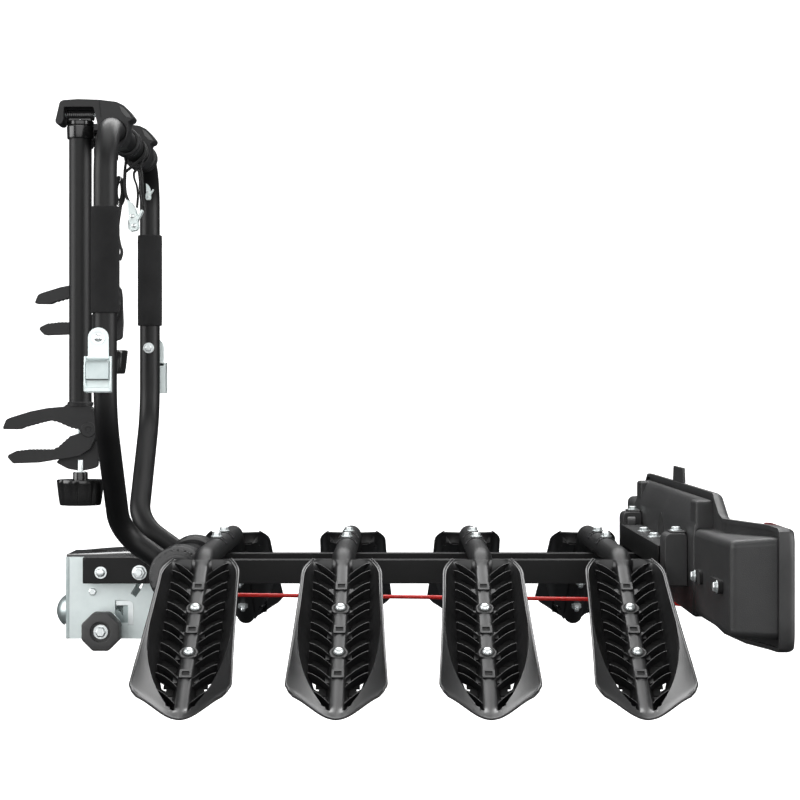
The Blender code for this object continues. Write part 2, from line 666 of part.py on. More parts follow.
def build():
    clear_scene()
    make_coupling()
    make_coupling_controls()
    make_rails()
    make_wheel_tubes()
    make_trays()
    make_rear()
    make_light_board()
    make_release()
    make_frame()
    for side, (place_y, lift) in ARMS.items():
        make_arm(side, place_y, lift)
    make_straps()


build()
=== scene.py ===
"""The looks of the tow-ball bicycle carrier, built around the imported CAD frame."""

import json
import math

import bmesh
import bpy
from mathutils import Matrix, Vector

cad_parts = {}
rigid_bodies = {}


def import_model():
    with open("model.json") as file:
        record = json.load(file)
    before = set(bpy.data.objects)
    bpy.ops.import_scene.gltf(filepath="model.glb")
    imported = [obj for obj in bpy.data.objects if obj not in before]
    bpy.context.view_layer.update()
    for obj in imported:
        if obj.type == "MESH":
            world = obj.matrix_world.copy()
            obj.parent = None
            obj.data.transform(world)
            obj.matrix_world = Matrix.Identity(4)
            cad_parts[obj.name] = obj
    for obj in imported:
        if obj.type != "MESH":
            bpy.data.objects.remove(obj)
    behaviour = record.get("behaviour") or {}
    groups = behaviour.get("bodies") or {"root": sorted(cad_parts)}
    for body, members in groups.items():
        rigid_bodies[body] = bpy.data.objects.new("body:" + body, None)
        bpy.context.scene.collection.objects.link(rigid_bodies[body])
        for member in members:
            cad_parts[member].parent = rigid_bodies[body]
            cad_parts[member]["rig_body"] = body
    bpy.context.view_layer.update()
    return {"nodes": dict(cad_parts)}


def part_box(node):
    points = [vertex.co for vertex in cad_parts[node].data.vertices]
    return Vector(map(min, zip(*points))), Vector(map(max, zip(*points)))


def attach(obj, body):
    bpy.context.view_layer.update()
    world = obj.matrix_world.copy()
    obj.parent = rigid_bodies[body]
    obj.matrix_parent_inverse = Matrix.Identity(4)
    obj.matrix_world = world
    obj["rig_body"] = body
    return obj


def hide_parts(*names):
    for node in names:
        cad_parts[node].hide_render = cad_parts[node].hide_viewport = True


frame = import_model()
nodes = frame["nodes"]

SIDES = {"left": -1, "right": 1}
TAU = 2 * math.pi

# Sizes shared with the design, in metres
FOLD_PIVOT = (0.172, 0.064)
FRAME_X, FRAME_TOP, LEG_Y, FRAME_R = 0.083, 0.713, 0.262, 0.0165
TUBE_X = (0.2225, 0.418, 0.612, 0.8075)
TUBE_Z, TUBE_R, TUBE_BEND_Y, TUBE_END_Y = 0.0993, 0.016, 0.255, 0.537
TRAY_SLOPE = math.radians(30)
TRAY_INNER = (0.295, 0.1005)
TRAY_LENGTH = 0.35
RAIL_MIDDLE_Y = 0.065
ARM_X, SWIVEL_Z = 0.0306, 0.739
ARMS = {"left": (-0.148, 0.0), "right": (0.119, 0.195)}
CLAW_PIVOT = (0.044, 0.2794)
CABLE_START, CABLE_END = (0.13, 0.0, 0.025), (0.915, 0.0, 0.0155)


# ---------------------------------------------------------------- materials


def new_node(tree, kind, **inputs):
    """A shader node with its inputs set; an underscore in a name stands for a space."""
    made = tree.nodes.new(f"ShaderNode{kind}")
    for socket, value in inputs.items():
        made.inputs[socket.replace("_", " ")].default_value = value
    return made


def material(name, dark, light, rough, metallic=0.0, grain=(900.0, 0.05), coat=0.0, patch=18.0,
             specular=0.5):
    """A moulded or coated finish: colour and gloss drift slowly, and a fine grain gives bump."""
    made = bpy.data.materials.new(name)
    made.use_nodes = True
    tree = made.node_tree
    shader = tree.nodes["Principled BSDF"]
    for socket, value in (("Metallic", metallic), ("Coat Weight", coat), ("Coat Roughness", 0.15),
                          ("Specular IOR Level", specular)):
        shader.inputs[socket].default_value = value
    place = new_node(tree, "TexCoord")
    drift = new_node(tree, "TexNoise", Scale=patch, Detail=5.0)
    ramp = new_node(tree, "ValToRGB")
    for element, position, colour in zip(ramp.color_ramp.elements, (0.3, 0.7), (dark, light)):
        element.position = position
        element.color = (*colour, 1.0)
    fine = new_node(tree, "TexNoise", Scale=grain[0], Detail=3.0)
    gloss = new_node(tree, "MapRange", To_Min=rough[0], To_Max=rough[1])
    bump = new_node(tree, "Bump", Strength=grain[1], Distance=0.001)
    for start, output, end, socket in (
            (place, "Object", drift, "Vector"), (drift, "Fac", ramp, "Fac"),
            (ramp, "Color", shader, "Base Color"), (place, "Object", fine, "Vector"),
            (drift, "Fac", gloss, "Value"), (gloss, "Result", shader, "Roughness"),
            (fine, "Fac", bump, "Height"), (bump, "Normal", shader, "Normal")):
        tree.links.new(start.outputs[output], end.inputs[socket])
    return made


def woven(name, dark, light):
    """Webbing: fine ribs across the strap over a slow drift of colour."""
    made = material(name, dark, light, (0.75, 0.95), grain=(1500.0, 0.4))
    tree = made.node_tree
    ribs = new_node(tree, "TexWave", Scale=220.0, Distortion=1.0)
    ribs.bands_direction = "Z"
    tree.links.new(tree.nodes["Texture Coordinate"].outputs["Object"], ribs.inputs["Vector"])
    tree.links.new(ribs.outputs["Fac"], tree.nodes["Bump"].inputs["Height"])
    return made


COATED = material("black_powder_coat", (0.0045, 0.0045, 0.0047), (0.007, 0.007, 0.0073),
                  (0.4, 0.5), grain=(1400.0, 0.1), specular=0.3)
TRAY = material("tray_gloss_plastic", (0.007, 0.007, 0.0072), (0.011, 0.011, 0.0115),
                (0.3, 0.38), grain=(700.0, 0.03), coat=0.1)
BOARD = material("board_grained_plastic", (0.022, 0.022, 0.0225), (0.032, 0.032, 0.0325),
                 (0.36, 0.48), grain=(1100.0, 0.35), specular=0.42)
HUB = material("hub_plastic", (0.014, 0.014, 0.0145), (0.021, 0.021, 0.0215), (0.16, 0.24),
               grain=(900.0, 0.06), coat=0.4)
CLAW = material("claw_plastic", (0.012, 0.012, 0.0125), (0.018, 0.018, 0.0185), (0.36, 0.48),
                grain=(1600.0, 0.18), specular=0.34)
KNOB = material("knob_gloss_plastic", (0.008, 0.008, 0.008), (0.014, 0.014, 0.014),
                (0.16, 0.26), coat=0.3)
WHEEL = material("wheel_grey_plastic", (0.055, 0.055, 0.055), (0.072, 0.072, 0.072),
                 (0.48, 0.6), grain=(1500.0, 0.2))
FOAM = material("foam_rubber", (0.014, 0.014, 0.0145), (0.024, 0.024, 0.0245), (0.8, 0.95),
                grain=(2200.0, 0.8), specular=0.2)
ZINC = material("zinc_plate", (0.78, 0.86, 0.855), (0.84, 0.92, 0.91), (0.32, 0.42), 0.4,
                grain=(500.0, 0.05), patch=60.0)
BRIGHT = material("bright_zinc_bolt", (0.76, 0.81, 0.81), (0.88, 0.92, 0.92), (0.26, 0.38), 0.8,
                  patch=90.0)
GREY = material("grey_steel", (0.4, 0.47, 0.47), (0.52, 0.58, 0.58), (0.32, 0.42), 0.8,
                grain=(600.0, 0.08), patch=50.0)
RED = material("red_sheath", (0.86, 0.02, 0.016), (0.95, 0.03, 0.022), (0.25, 0.35),
               grain=(1200.0, 0.08), coat=0.3)
LENS = material("red_lens", (0.42, 0.004, 0.004), (0.58, 0.008, 0.006), (0.08, 0.16),
                grain=(250.0, 0.1), coat=1.0)
WEB = woven("webbing", (0.01, 0.01, 0.01), (0.02, 0.02, 0.02))
# Painted shade for openings and recesses (also the dark seam line on the arm heads): it has no slot of its
# own, so each piece that uses it names one
SHADE = material("dark_opening", (0.002, 0.002, 0.002), (0.004, 0.004, 0.004), (0.7, 0.9))


# ---------------------------------------------------------------- mesh tools


def add(name, bm, finish, body, replaces=(), **options):
    """A piece from a bmesh in the row frame, riding on a body."""
    bmesh.ops.recalc_face_normals(bm, faces=bm.faces)
    mesh = bpy.data.meshes.new(name)
    bm.to_mesh(mesh)
    bm.free()
    return add_mesh(name, mesh, finish, body, replaces, **options)


def add_mesh(name, mesh, finish, body, replaces=(), bevel=0.0, segments=3, angle=32.0, slot=None):
    """A piece from a mesh in its finish, riding on a body; the slot argument is not used."""
    mesh.shade_smooth()
    mesh.set_sharp_from_angle(angle=math.radians(angle))
    mesh.materials.clear()
    mesh.materials.append(finish)
    obj = bpy.data.objects.new(name, mesh)
    bpy.context.scene.collection.objects.link(obj)
    if bevel:
        modifier = obj.modifiers.new("edges", "BEVEL")
        modifier.width = bevel
        modifier.segments = segments
        modifier.limit_method = "ANGLE"
        modifier.angle_limit = math.radians(angle)
        modifier.harden_normals = True
    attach(obj, body)
    if replaces:
        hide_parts(*replaces)
    return obj


def cut_away(piece, cutter):
    """Cuts a closed bmesh out of a piece before its other modifiers, and applies them all."""
    bmesh.ops.recalc_face_normals(cutter, faces=cutter.faces)
    tool = bpy.data.objects.new("cutter", bpy.data.meshes.new("cutter"))
    cutter.to_mesh(tool.data)
    cutter.free()
    bpy.context.scene.collection.objects.link(tool)
    piece.modifiers.new("cut", "BOOLEAN").object = tool
    piece.modifiers.move(len(piece.modifiers) - 1, 0)
    bpy.context.view_layer.update()
    graph = bpy.context.evaluated_depsgraph_get()
    mesh = bpy.data.meshes.new_from_object(piece.evaluated_get(graph))
    piece.modifiers.clear()
    piece.data = mesh
    bpy.data.objects.remove(tool, do_unlink=True)


def loft(rings, closed=False, bm=None, caps=True):
    bm = bm or bmesh.new()
    made = [[bm.verts.new(point) for point in ring] for ring in rings]
    pairs = list(zip(made, made[1:]))
    if closed:
        pairs.append((made[-1], made[0]))
    for ring, following in pairs:
        for i in range(len(ring)):
            j = (i + 1) % len(ring)
            bm.faces.new((ring[i], ring[j], following[j], following[i]))
    if caps and not closed:
        bm.faces.new(made[0])
        bm.faces.new(made[-1])
    return bm


def placed(pair, axis, along):
    values = list(pair)
    values.insert("XYZ".index(axis), along)
    return values


def prism(outline, axis, low, high, bm=None):
    return loft([[placed(p, axis, low) for p in outline], [placed(p, axis, high) for p in outline]], bm=bm)


def rectangle(across, up):
    return [(across[0], up[0]), (across[1], up[0]), (across[1], up[1]), (across[0], up[1])]


def box(x, y, z, bm=None):
    return prism(rectangle(x, y), "Z", z[0], z[1], bm)


def span(sign, one, other):
    """A stretch on one side of the middle, as a low and a high value."""
    return sorted((sign * one, sign * other))


def outward(sign, face, steps):
    """A turned profile that grows away from a face, from (distance out, radius) pairs."""
    return [(sign * (face + out), radius) for out, radius in steps]


def circle(centre, radius, sides, start=0.0):
    return [
        (centre[0] + radius * math.cos(start + TAU * i / sides),
         centre[1] + radius * math.sin(start + TAU * i / sides))
        for i in range(sides)
    ]


def turned(axis, centre, profile, sides=48, bm=None, closed=False):
    """A shape turned about an axis line, from (place along the axis, radius) pairs."""
    rings = [[placed(p, axis, along) for p in circle(centre, r, sides)] for along, r in profile]
    return loft(rings, closed=closed, bm=bm)


def turned_at(place, profile, sides, bm):
    """The same about a matrix's Z axis."""
    loft([[place @ Vector((*p, along)) for p in circle((0.0, 0.0), r, sides)] for along, r in profile], bm=bm)


def rounded_outline(points, radius, steps=4):
    """A closed outline with each corner replaced by a short arc-like curve."""
    out = []
    count = len(points)
    radii = radius if isinstance(radius, (list, tuple)) else [radius] * count
    for i in range(count):
        before, here, after = (Vector(points[(i + k) % count]) for k in (-1, 0, 1))
        reach = min(radii[i], (here - before).length * 0.48, (after - here).length * 0.48)
        a = here + (before - here).normalized() * reach
        b = here + (after - here).normalized() * reach
        for k in range(steps + 1):
            t = k / steps
            out.append(tuple(a * (1 - t) ** 2 + here * 2 * t * (1 - t) + b * t * t))
    return out


def rounded_path(points, radii, step=math.radians(4)):
    """A polyline whose inner corners are replaced by arcs of the given radii."""
    points = [Vector(p) for p in points]
    path = [points[0]]
    for before, corner, after, radius in zip(points, points[1:], points[2:], radii):
        arrive = (corner - before).normalized()
        leave = (after - corner).normalized()
        turn = arrive.angle(leave)
        reach = radius * math.tan(turn / 2)
        start = corner - arrive * reach
        centre = corner + (leave - arrive).normalized() * math.hypot(radius, reach)
        axis = arrive.cross(leave).normalized()
        count = max(2, math.ceil(turn / step))
        for i in range(count + 1):
            path.append(centre + Matrix.Rotation(turn * i / count, 3, axis) @ (start - centre))
    path.append(points[-1])
    return path


def sweep(path, outline, bm=None, hollow=0.0, up=None):
    """A solid of constant section along a path; a positive hollow leaves open ends."""
    path = [Vector(p) for p in path]
    tangents = []
    for i in range(len(path)):
        tangents.append((path[min(i + 1, len(path) - 1)] - path[max(i - 1, 0)]).normalized())
    normal = Vector(up) if up else tangents[0].orthogonal().normalized()
    frames = []
    for i, tangent in enumerate(tangents):
        if i:
            normal = tangents[i - 1].rotation_difference(tangent) @ normal
        normal = (normal - tangent * normal.dot(tangent)).normalized()
        frames.append((normal.copy(), tangent.cross(normal)))

    def ring(i, scale):
        side, other = frames[i]
        return [path[i] + side * (c * scale) + other * (s * scale) for c, s in outline]

    rings = [ring(i, 1.0) for i in range(len(path))]
    if hollow:
        rings += [ring(i, 1.0 - hollow) for i in reversed(range(len(path)))]
    return loft(rings, closed=bool(hollow), bm=bm)


def round_tube(path, radius, sides=36, bm=None, hollow=0.12):
    return sweep(path, circle((0.0, 0.0), radius, sides), bm, hollow)


def refined(node, finish, bevel, segments=2):
    """A CAD node's own shape with its edges rounded, in place of the plain node."""
    bm = bmesh.new()
    bm.from_mesh(nodes[node].data)
    bmesh.ops.remove_doubles(bm, verts=bm.verts, dist=1e-5)
    bmesh.ops.dissolve_limit(bm, angle_limit=math.radians(1.0), verts=bm.verts, edges=bm.edges)
    add(f"{node}_shape", bm, finish, nodes[node]["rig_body"], (node,), bevel=bevel, segments=segments)


def hex_head(bm, axis, centre, low, high, radius, washer=0.0, direction=1):
    """A hex head with a chamfered top and an optional washer under it."""
    top = high - direction * abs(high - low) * 0.22
    turned(axis, centre, [(low, radius), (top, radius), (high, radius * 0.82)], 6, bm)
    if washer:
        turned(axis, centre, [(low - direction * 0.0004, washer), (low + direction * 0.0014, washer)], 28, bm)


def dome(bm, matrix, radius, height, sides=24):
    """A dome-headed bolt on a local surface, pointing along the matrix's Z axis."""
    profile = [(-0.004, radius)]
    for share in (0.0, 0.25, 0.5, 0.72, 0.88, 0.97):
        turn = share * math.pi / 2
        profile.append((height * math.sin(turn), radius * math.cos(turn)))
    turned_at(matrix, profile, sides, bm)


# ---------------------------------------------------------------- wheel trays


def smooth(value, low, high):
    t = min(1.0, max(0.0, (value - low) / (high - low)))
    return t * t * (3 - 2 * t)


def tray_widths(share):
    """Half width, rim height and half width of the deep channel at a share of the length."""
    inner_corner = 0.013 * max(0.0, 1 - share / 0.16) ** 2.2
    outer_corner = 0.005 * smooth(share, 0.94, 1.0) ** 2
    half = 0.0535 + 0.0105 * share ** 1.5 - inner_corner - outer_corner
    rim = (0.006 + 0.025 * share ** 1.15) * smooth(share, -0.05, 0.14) - 0.003 * smooth(share, 0.8, 1.0)
    fall = min(1.0, max(0.0, (share - 0.4) / 0.56))
    crease = min(half - 0.0028, 0.0545 * (1 - fall ** 3.4) ** 0.58)
    return half, rim, max(0.001, crease)


FLOOR = -0.0165
CHANNEL_WALL = 0.019
SOCKET_SHARES = (0.184, 0.466, 0.739)
BOLT_SHARES = (0.327, 0.608)
SPINE_LINES = (0.0, 0.0035, 0.0068, 0.008, 0.0094, 0.0112, 0.0132, 0.0138)


def tray_lines(share):
    """Places across one half of the tray: fine over the spine and at the channel's wall."""
    half, _, crease = tray_widths(share)
    edge = max(crease, 0.0205)
    foot = edge - min(CHANNEL_WALL, (edge - SPINE_LINES[-1]) * 0.7)
    lines = list(SPINE_LINES)
    lines += [SPINE_LINES[-1] + (foot - SPINE_LINES[-1]) * i / 4 for i in range(1, 5)]
    lines += [foot + (edge - foot) * i / 8 for i in range(1, 9)]
    lines += [edge + (half - edge) * i / 7 for i in range(1, 8)]
    return lines


def tray_height(share, w):
    """The tray's top surface above the spine's line."""
    half, rim, crease = tray_widths(share)
    side = abs(w)
    power = 2.0 - 0.6 * smooth(share, 0.75, 1.0)
    funnel = rim * (side / half) ** power
    spine = -0.0022 * min(1.0, side / 0.008) ** 2 - 0.011 * smooth(side, 0.008, 0.0134)
    if side > 0.0135:
        spine = -1.0
    if side >= crease:
        deep = funnel
    else:
        wall = min(CHANNEL_WALL, crease * 0.6)
        edge = rim * (crease / half) ** power
        t = min(1.0, (crease - side) / wall)
        deep = edge + (FLOOR - edge) * (1 - (1 - t) ** 2.0)
    ends = max(smooth(share, 0.93, 0.985), 1 - smooth(share, 0.004, 0.03))
    return max(spine, deep) * (1 - ends) + max(spine, funnel) * ends


def tray_point(share, w, drop=0.0):
    side = abs(w) / tray_widths(share)[0]
    cut = 0.015 * smooth(side, 0.12, 0.86) + 0.0055 * smooth(side, 0.86, 1.0) ** 2
    return Vector((w, share * (TRAY_LENGTH - cut), tray_height(share, w) - drop))


TRAY_ROWS = 72
SLOT_ROWS = (0.752, 0.785)
SLOT_COLUMNS = (10, 13)


def tray_mesh():
    """One tray in its own axes: +Y down the slope from the inner end, +Z off its surface."""
    bm = bmesh.new()
    rows = [i / TRAY_ROWS for i in range(TRAY_ROWS + 1)]
    grids = []
    for drop in (0.0, 0.0022):
        grid = []
        for share in rows:
            places = tray_lines(share)
            places = [-w for w in reversed(places[1:])] + places
            grid.append([bm.verts.new(tray_point(share, w, drop)) for w in places])
        grids.append(grid)
    top, bottom = grids
    middle = len(top[0]) // 2
    last_row, last_line = len(rows) - 1, len(top[0]) - 1

    def slotted(i, j):
        """True for the cells of the two small openings beside the spine near the tip."""
        column = j - middle if j >= middle else middle - 1 - j
        share = (i + 0.5) / TRAY_ROWS
        return SLOT_ROWS[0] < share < SLOT_ROWS[1] and SLOT_COLUMNS[0] <= column < SLOT_COLUMNS[1]

    def wall(a, b):
        bm.faces.new((top[a[0]][a[1]], top[b[0]][b[1]], bottom[b[0]][b[1]], bottom[a[0]][a[1]]))

    for i in range(last_row):
        for j in range(last_line):
            if not slotted(i, j):
                bm.faces.new((top[i][j], top[i][j + 1], top[i + 1][j + 1], top[i + 1][j]))
                bm.faces.new((bottom[i][j], bottom[i + 1][j], bottom[i + 1][j + 1], bottom[i][j + 1]))
                continue
            if not slotted(i - 1, j):
                wall((i, j), (i, j + 1))
            if not slotted(i + 1, j):
                wall((i + 1, j), (i + 1, j + 1))
            if not slotted(i, j - 1):
                wall((i, j), (i + 1, j))
            if not slotted(i, j + 1):
                wall((i, j + 1), (i + 1, j + 1))
    for j in range(last_line):
        wall((0, j), (0, j + 1))
        wall((last_row, j), (last_row, j + 1))
    for i in range(last_row):
        wall((i, 0), (i + 1, 0))
        wall((i, last_line), (i + 1, last_line))
    tray_rim(bm)
    tray_fins(bm)
    tray_spine_details(bm)
    bmesh.ops.recalc_face_normals(bm, faces=bm.faces)
    mesh = bpy.data.meshes.new("tray_surface")
    bm.to_mesh(mesh)
    bm.free()
    return mesh


def tray_rim(bm):
    """The thin rolled edge all the way round the tray."""
    count = 60
    path = []
    for i in range(count + 1):
        share = i / count
        path.append(tray_point(share, -tray_widths(share)[0]))
    half = tray_widths(1.0)[0]
    path += [tray_point(1.0, -half + 2 * half * i / 40) for i in range(1, 40)]
    for i in range(count, -1, -1):
        share = i / count
        path.append(tray_point(share, tray_widths(share)[0]))
    sweep(path, circle((0.0, 0.0), 0.0017, 8), bm)


def tray_fins(bm):
    """Thin curved ribs in pairs, from the channel's walls down to the spine."""
    pitch, thick, foot = 0.046, 0.0008, 0.0085
    starts = [first + pitch * k for k in range(6) for first in (0.0065, 0.024)] + [0.288]
    for start in starts:
        reach = min(0.039, tray_widths(min(1.0, start / TRAY_LENGTH))[2] - 0.004)
        for sign in (-1, 1):
            rings = []
            for k in range(9):
                t = k / 8
                x = sign * (foot + (reach - foot) * (1 - t))
                y = start + 0.027 * t ** 1.55
                top = -0.001 - 0.0035 * t
                rings.append([(x, y - thick, FLOOR + 0.0005), (x, y + thick, FLOOR + 0.0005),
                              (x, y + thick * 0.6, top), (x, y - thick * 0.6, top)])
            loft(rings, bm=bm)


def side_blocks(bm, x, half, y, top):
    """A pair of low blocks beside the spine."""
    for sign in (-1, 1):
        box((sign * x - half, sign * x + half), y, (FLOOR, top), bm)


def tray_spine_details(bm):
    """Square sockets, screw bosses and short side ribs along the spine."""
    for share in SOCKET_SHARES:
        y = share * TRAY_LENGTH
        outer = rounded_outline(rectangle((-0.0078, 0.0078), (y - 0.0085, y + 0.0085)), 0.002)
        inner = rounded_outline(rectangle((-0.005, 0.005), (y - 0.0045, y + 0.0045)), 0.0006)
        rings = [[(*p, z) for p in ring] for ring, z in
                 ((outer, -0.006), (outer, 0.0013), (inner, 0.0013), (inner, -0.006))]
        loft(rings, closed=True, bm=bm)
        side_blocks(bm, 0.0135, 0.003, (y - 0.006, y + 0.008), -0.0085)
    for share in BOLT_SHARES:
        y = share * TRAY_LENGTH
        turned("Z", (0.0, y), [(-0.012, 0.0125), (-0.0004, 0.0125), (0.0006, 0.0115)], 28, bm)
        side_blocks(bm, 0.0138, 0.0035, (y - 0.005, y + 0.005), -0.008)


def tray_place(x, sign):
    turn = Matrix.Rotation(-TRAY_SLOPE, 4, "X")
    flip = Matrix.Rotation(math.pi if sign < 0 else 0.0, 4, "Z")
    return Matrix.Translation((x, sign * TRAY_INNER[0], TRAY_INNER[1])) @ flip @ turn


def tray_painted_shade():
    """Painted shade for a tray: dark patches in its sockets, in its bolt recesses and on the channel floor
    between the ribs.
    """
    bm = bmesh.new()
    for share in SOCKET_SHARES:
        y = share * TRAY_LENGTH
        box((-0.0049, 0.0049), (y - 0.0044, y + 0.0044), (-0.004, 0.0003), bm)
    for share in BOLT_SHARES:
        turned("Z", (0.0, share * TRAY_LENGTH), [(-0.002, 0.01), (0.0009, 0.0096)], 28, bm)
    for i in range(18):
        start, end = 0.006 + i * 0.0155, 0.0205 + i * 0.0155
        foot = tray_widths(end / TRAY_LENGTH)[2]
        foot -= min(CHANNEL_WALL, (foot - SPINE_LINES[-1]) * 0.7) - 0.001
        for sign in (-1, 1):
            box(span(sign, 0.0145, foot), (start, end), (FLOOR - 0.001, FLOOR + 0.0012), bm)
    return bm


def make_trays():
    surface = tray_mesh()
    recesses = tray_painted_shade()
    bolt_places = [share * TRAY_LENGTH for share in BOLT_SHARES]
    for number, x in enumerate(TUBE_X, 1):
        for side, sign in SIDES.items():
            node = f"tray_{number}_{side}"
            place = tray_place(x, sign)
            shape = surface.copy()
            shape.transform(place)
            add_mesh(f"{node}_moulding", shape, TRAY, "platform", (node,), angle=40.0)
            bolts = bmesh.new()
            for y in bolt_places:
                dome(bolts, place @ Matrix.Translation((0.0, y, 0.0008)), 0.007, 0.0055)
            add(f"{node}_bolts", bolts, BRIGHT, "platform", angle=50.0)
            # painted shade: dark patches in the sockets, the bolt recesses and between the ribs
            dark = recesses.copy()
            bmesh.ops.transform(dark, matrix=place, verts=dark.verts)
            add(f"{node}_sockets", dark, SHADE, "platform", slot="tray_plastic")
            nuts = bmesh.new()
            for y in bolt_places:
                under = place @ Matrix.Translation((0.0, y, -0.0355))
                turned_at(under, [(0.003, 0.0085), (-0.006, 0.0085), (-0.008, 0.007)], 6, nuts)
                turned_at(under, [(-0.006, 0.004), (-0.0125, 0.004), (-0.013, 0.0034)], 12, nuts)
            add(f"{node}_nuts", nuts, BRIGHT, "platform")
    recesses.free()


# ---------------------------------------------------------------- platform


def make_tubes():
    drop = (TUBE_END_Y - TUBE_BEND_Y) * math.tan(TRAY_SLOPE)
    for number, x in enumerate(TUBE_X, 1):
        tube = f"wheel_tube_{number}"
        points = [(x, -TUBE_END_Y, TUBE_Z - drop), (x, -TUBE_BEND_Y, TUBE_Z),
                  (x, TUBE_BEND_Y, TUBE_Z), (x, TUBE_END_Y, TUBE_Z - drop)]
        path = rounded_path(points, (0.06, 0.06))
        add(f"{tube}_coated", round_tube(path, TUBE_R), COATED, "platform", (tube,))
        make_tube_fixings(tube, x)
        plugs = bmesh.new()
        for sign in SIDES.values():
            end = Matrix.Translation((x, sign * TUBE_END_Y, TUBE_Z - drop))
            tilt = Matrix.Rotation(sign * -(math.pi / 2 + TRAY_SLOPE), 4, "X")
            turned_at(end @ tilt, [(-0.004, 0.014), (0.0, 0.014), (0.0, 0.016), (0.003, 0.015),
                                   (0.0045, 0.01)], 32, plugs)
        add(f"{tube}_plugs", plugs, HUB, "platform")


def make_tube_fixings(tube, x):
    """Where a tube crosses the rails: saddle washers, their bolts, and nuts under the rails."""
    top = TUBE_Z + TUBE_R
    washer = 0.0022
    angles = (-1.1, -0.75, -0.4, 0.0, 0.4, 0.75, 1.1)
    outline = []
    for radius, turns in ((TUBE_R + washer, angles), (TUBE_R, angles[::-1])):
        outline += [(x + radius * math.sin(a), TUBE_Z + radius * math.cos(a)) for a in turns]
    saddles, bolts, nuts = bmesh.new(), bmesh.new(), bmesh.new()
    for sign in SIDES.values():
        y = sign * RAIL_MIDDLE_Y
        prism(outline, "Y", y - 0.011, y + 0.011, saddles)
        hex_head(bolts, "Z", (x, y), top + washer, top + 0.0085, 0.0068, 0.0085)
        hex_head(nuts, "Z", (x, y), 0.048, 0.0405, 0.0075, 0.0095, -1)
    add(f"{tube}_saddles", saddles, HUB, "platform", bevel=0.0006)
    add(f"{tube}_bolts", bolts, BRIGHT, "platform", bevel=0.0004)
    add(f"{tube}_nuts", nuts, BRIGHT, "platform", bevel=0.0004)


def make_rails():
    for side, sign in SIDES.items():
        rail = f"rail_{side}"
        refined(rail, COATED, 0.0022)
        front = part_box(rail)[0].x
        y = sign * RAIL_MIDDLE_Y
        cap = rounded_outline(rectangle((y - 0.015, y + 0.015), (0.048, 0.087)), 0.003)
        add(f"{rail}_front_cap", prism(cap, "X", front - 0.0006, front + 0.0045), COATED, "platform",
            bevel=0.001)
        doubler = [(front + 0.0005, 0.0481), (0.118, 0.0481), (0.118, 0.084), (0.1, 0.0868),
                   (front + 0.004, 0.0868), (front + 0.0005, 0.083)]
        add(f"{rail}_bracket", prism(doubler, "Y", *span(sign, 0.0805, 0.0503)), COATED, "platform",
            bevel=0.0012)
    make_cross_bolt("tilt_pivot_bolt", 0.006)
    make_cross_bolt("latch_pin", 0.004)


def make_cross_bolt(node, shank):
    """A bolt across both rails: hex nuts on the latch pin, round ones on the tilt pivot."""
    low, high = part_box(node)
    centre = ((low.x + high.x) / 2, (low.z + high.z) / 2)
    face = 0.0808
    bm = turned("Y", centre, [(-0.0815, shank), (0.0815, shank)], 24)
    for sign in SIDES.values():
        if node == "latch_pin":
            hex_head(bm, "Y", centre, sign * face, sign * (face + 0.0055), 0.01, 0.0112, sign)
            end = [(0.0, 0.0052), (0.0085, 0.0052), (0.009, 0.0046)]
            turned("Y", centre, outward(sign, face, end), 24, bm)
        else:
            turned("Y", centre, outward(sign, face, [(0.0, 0.0092), (0.0016, 0.0092)]), 32, bm)
            end = [(0.0, 0.0066), (0.004, 0.0066), (0.0062, 0.005), (0.0066, 0.003)]
            turned("Y", centre, outward(sign, face, end), 32, bm)
    add(f"{node}_bright", bm, BRIGHT, nodes[node]["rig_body"], (node,), bevel=0.0004)


def make_rear_beam():
    refined("rear_crossbeam", COATED, 0.0018)
    bolts = bmesh.new()
    for sign in SIDES.values():
        hex_head(bolts, "Z", (0.88, sign * RAIL_MIDDLE_Y), 0.117, 0.1235, 0.0072, 0.01)
    add("crossbeam_bolts", bolts, BRIGHT, "platform", bevel=0.0004)
    for side, sign in SIDES.items():
        bracket = f"board_bracket_{side}"
        low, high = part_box(bracket)
        outline = rectangle((low.x, high.x), (low.z, high.z))
        outline = rounded_outline(outline, [0.002, 0.002, 0.006, 0.011], 6)
        add(f"{bracket}_moulding", prism(outline, "Y", low.y, high.y), BOARD, "platform", (bracket,),
            bevel=0.0045, segments=4)
        lid = rectangle((low.x + 0.009, high.x - 0.001), (low.y + 0.006, high.y - 0.006))
        lid_top = high.z + 0.0028
        lid = prism(rounded_outline(lid, 0.003), "Z", high.z - 0.001, lid_top)
        add(f"{bracket}_lid", lid, BOARD, "platform", bevel=0.0009)
        bolt = bmesh.new()
        spot = (low.x + 0.019, (low.y + high.y) / 2)
        hex_head(bolt, "Z", spot, lid_top, high.z + 0.0085, 0.0065, 0.0085)
        add(f"{bracket}_bolt", bolt, BRIGHT, "platform", bevel=0.0004)
        inner = low.y if sign > 0 else high.y
        ear = turned("X", (inner - sign * 0.008, 0.1175), [(0.872, 0.0125), (0.886, 0.0125)], 32)
        add(f"{bracket}_ear", ear, BOARD, "platform", bevel=0.002)


# ---------------------------------------------------------------- light board


def mirrored_outline(half):
    """Both halves of an outline given for +Y as (y, z) pairs from the top middle round."""
    return half + [(-y, z) for y, z in reversed(half) if y > 1e-6]


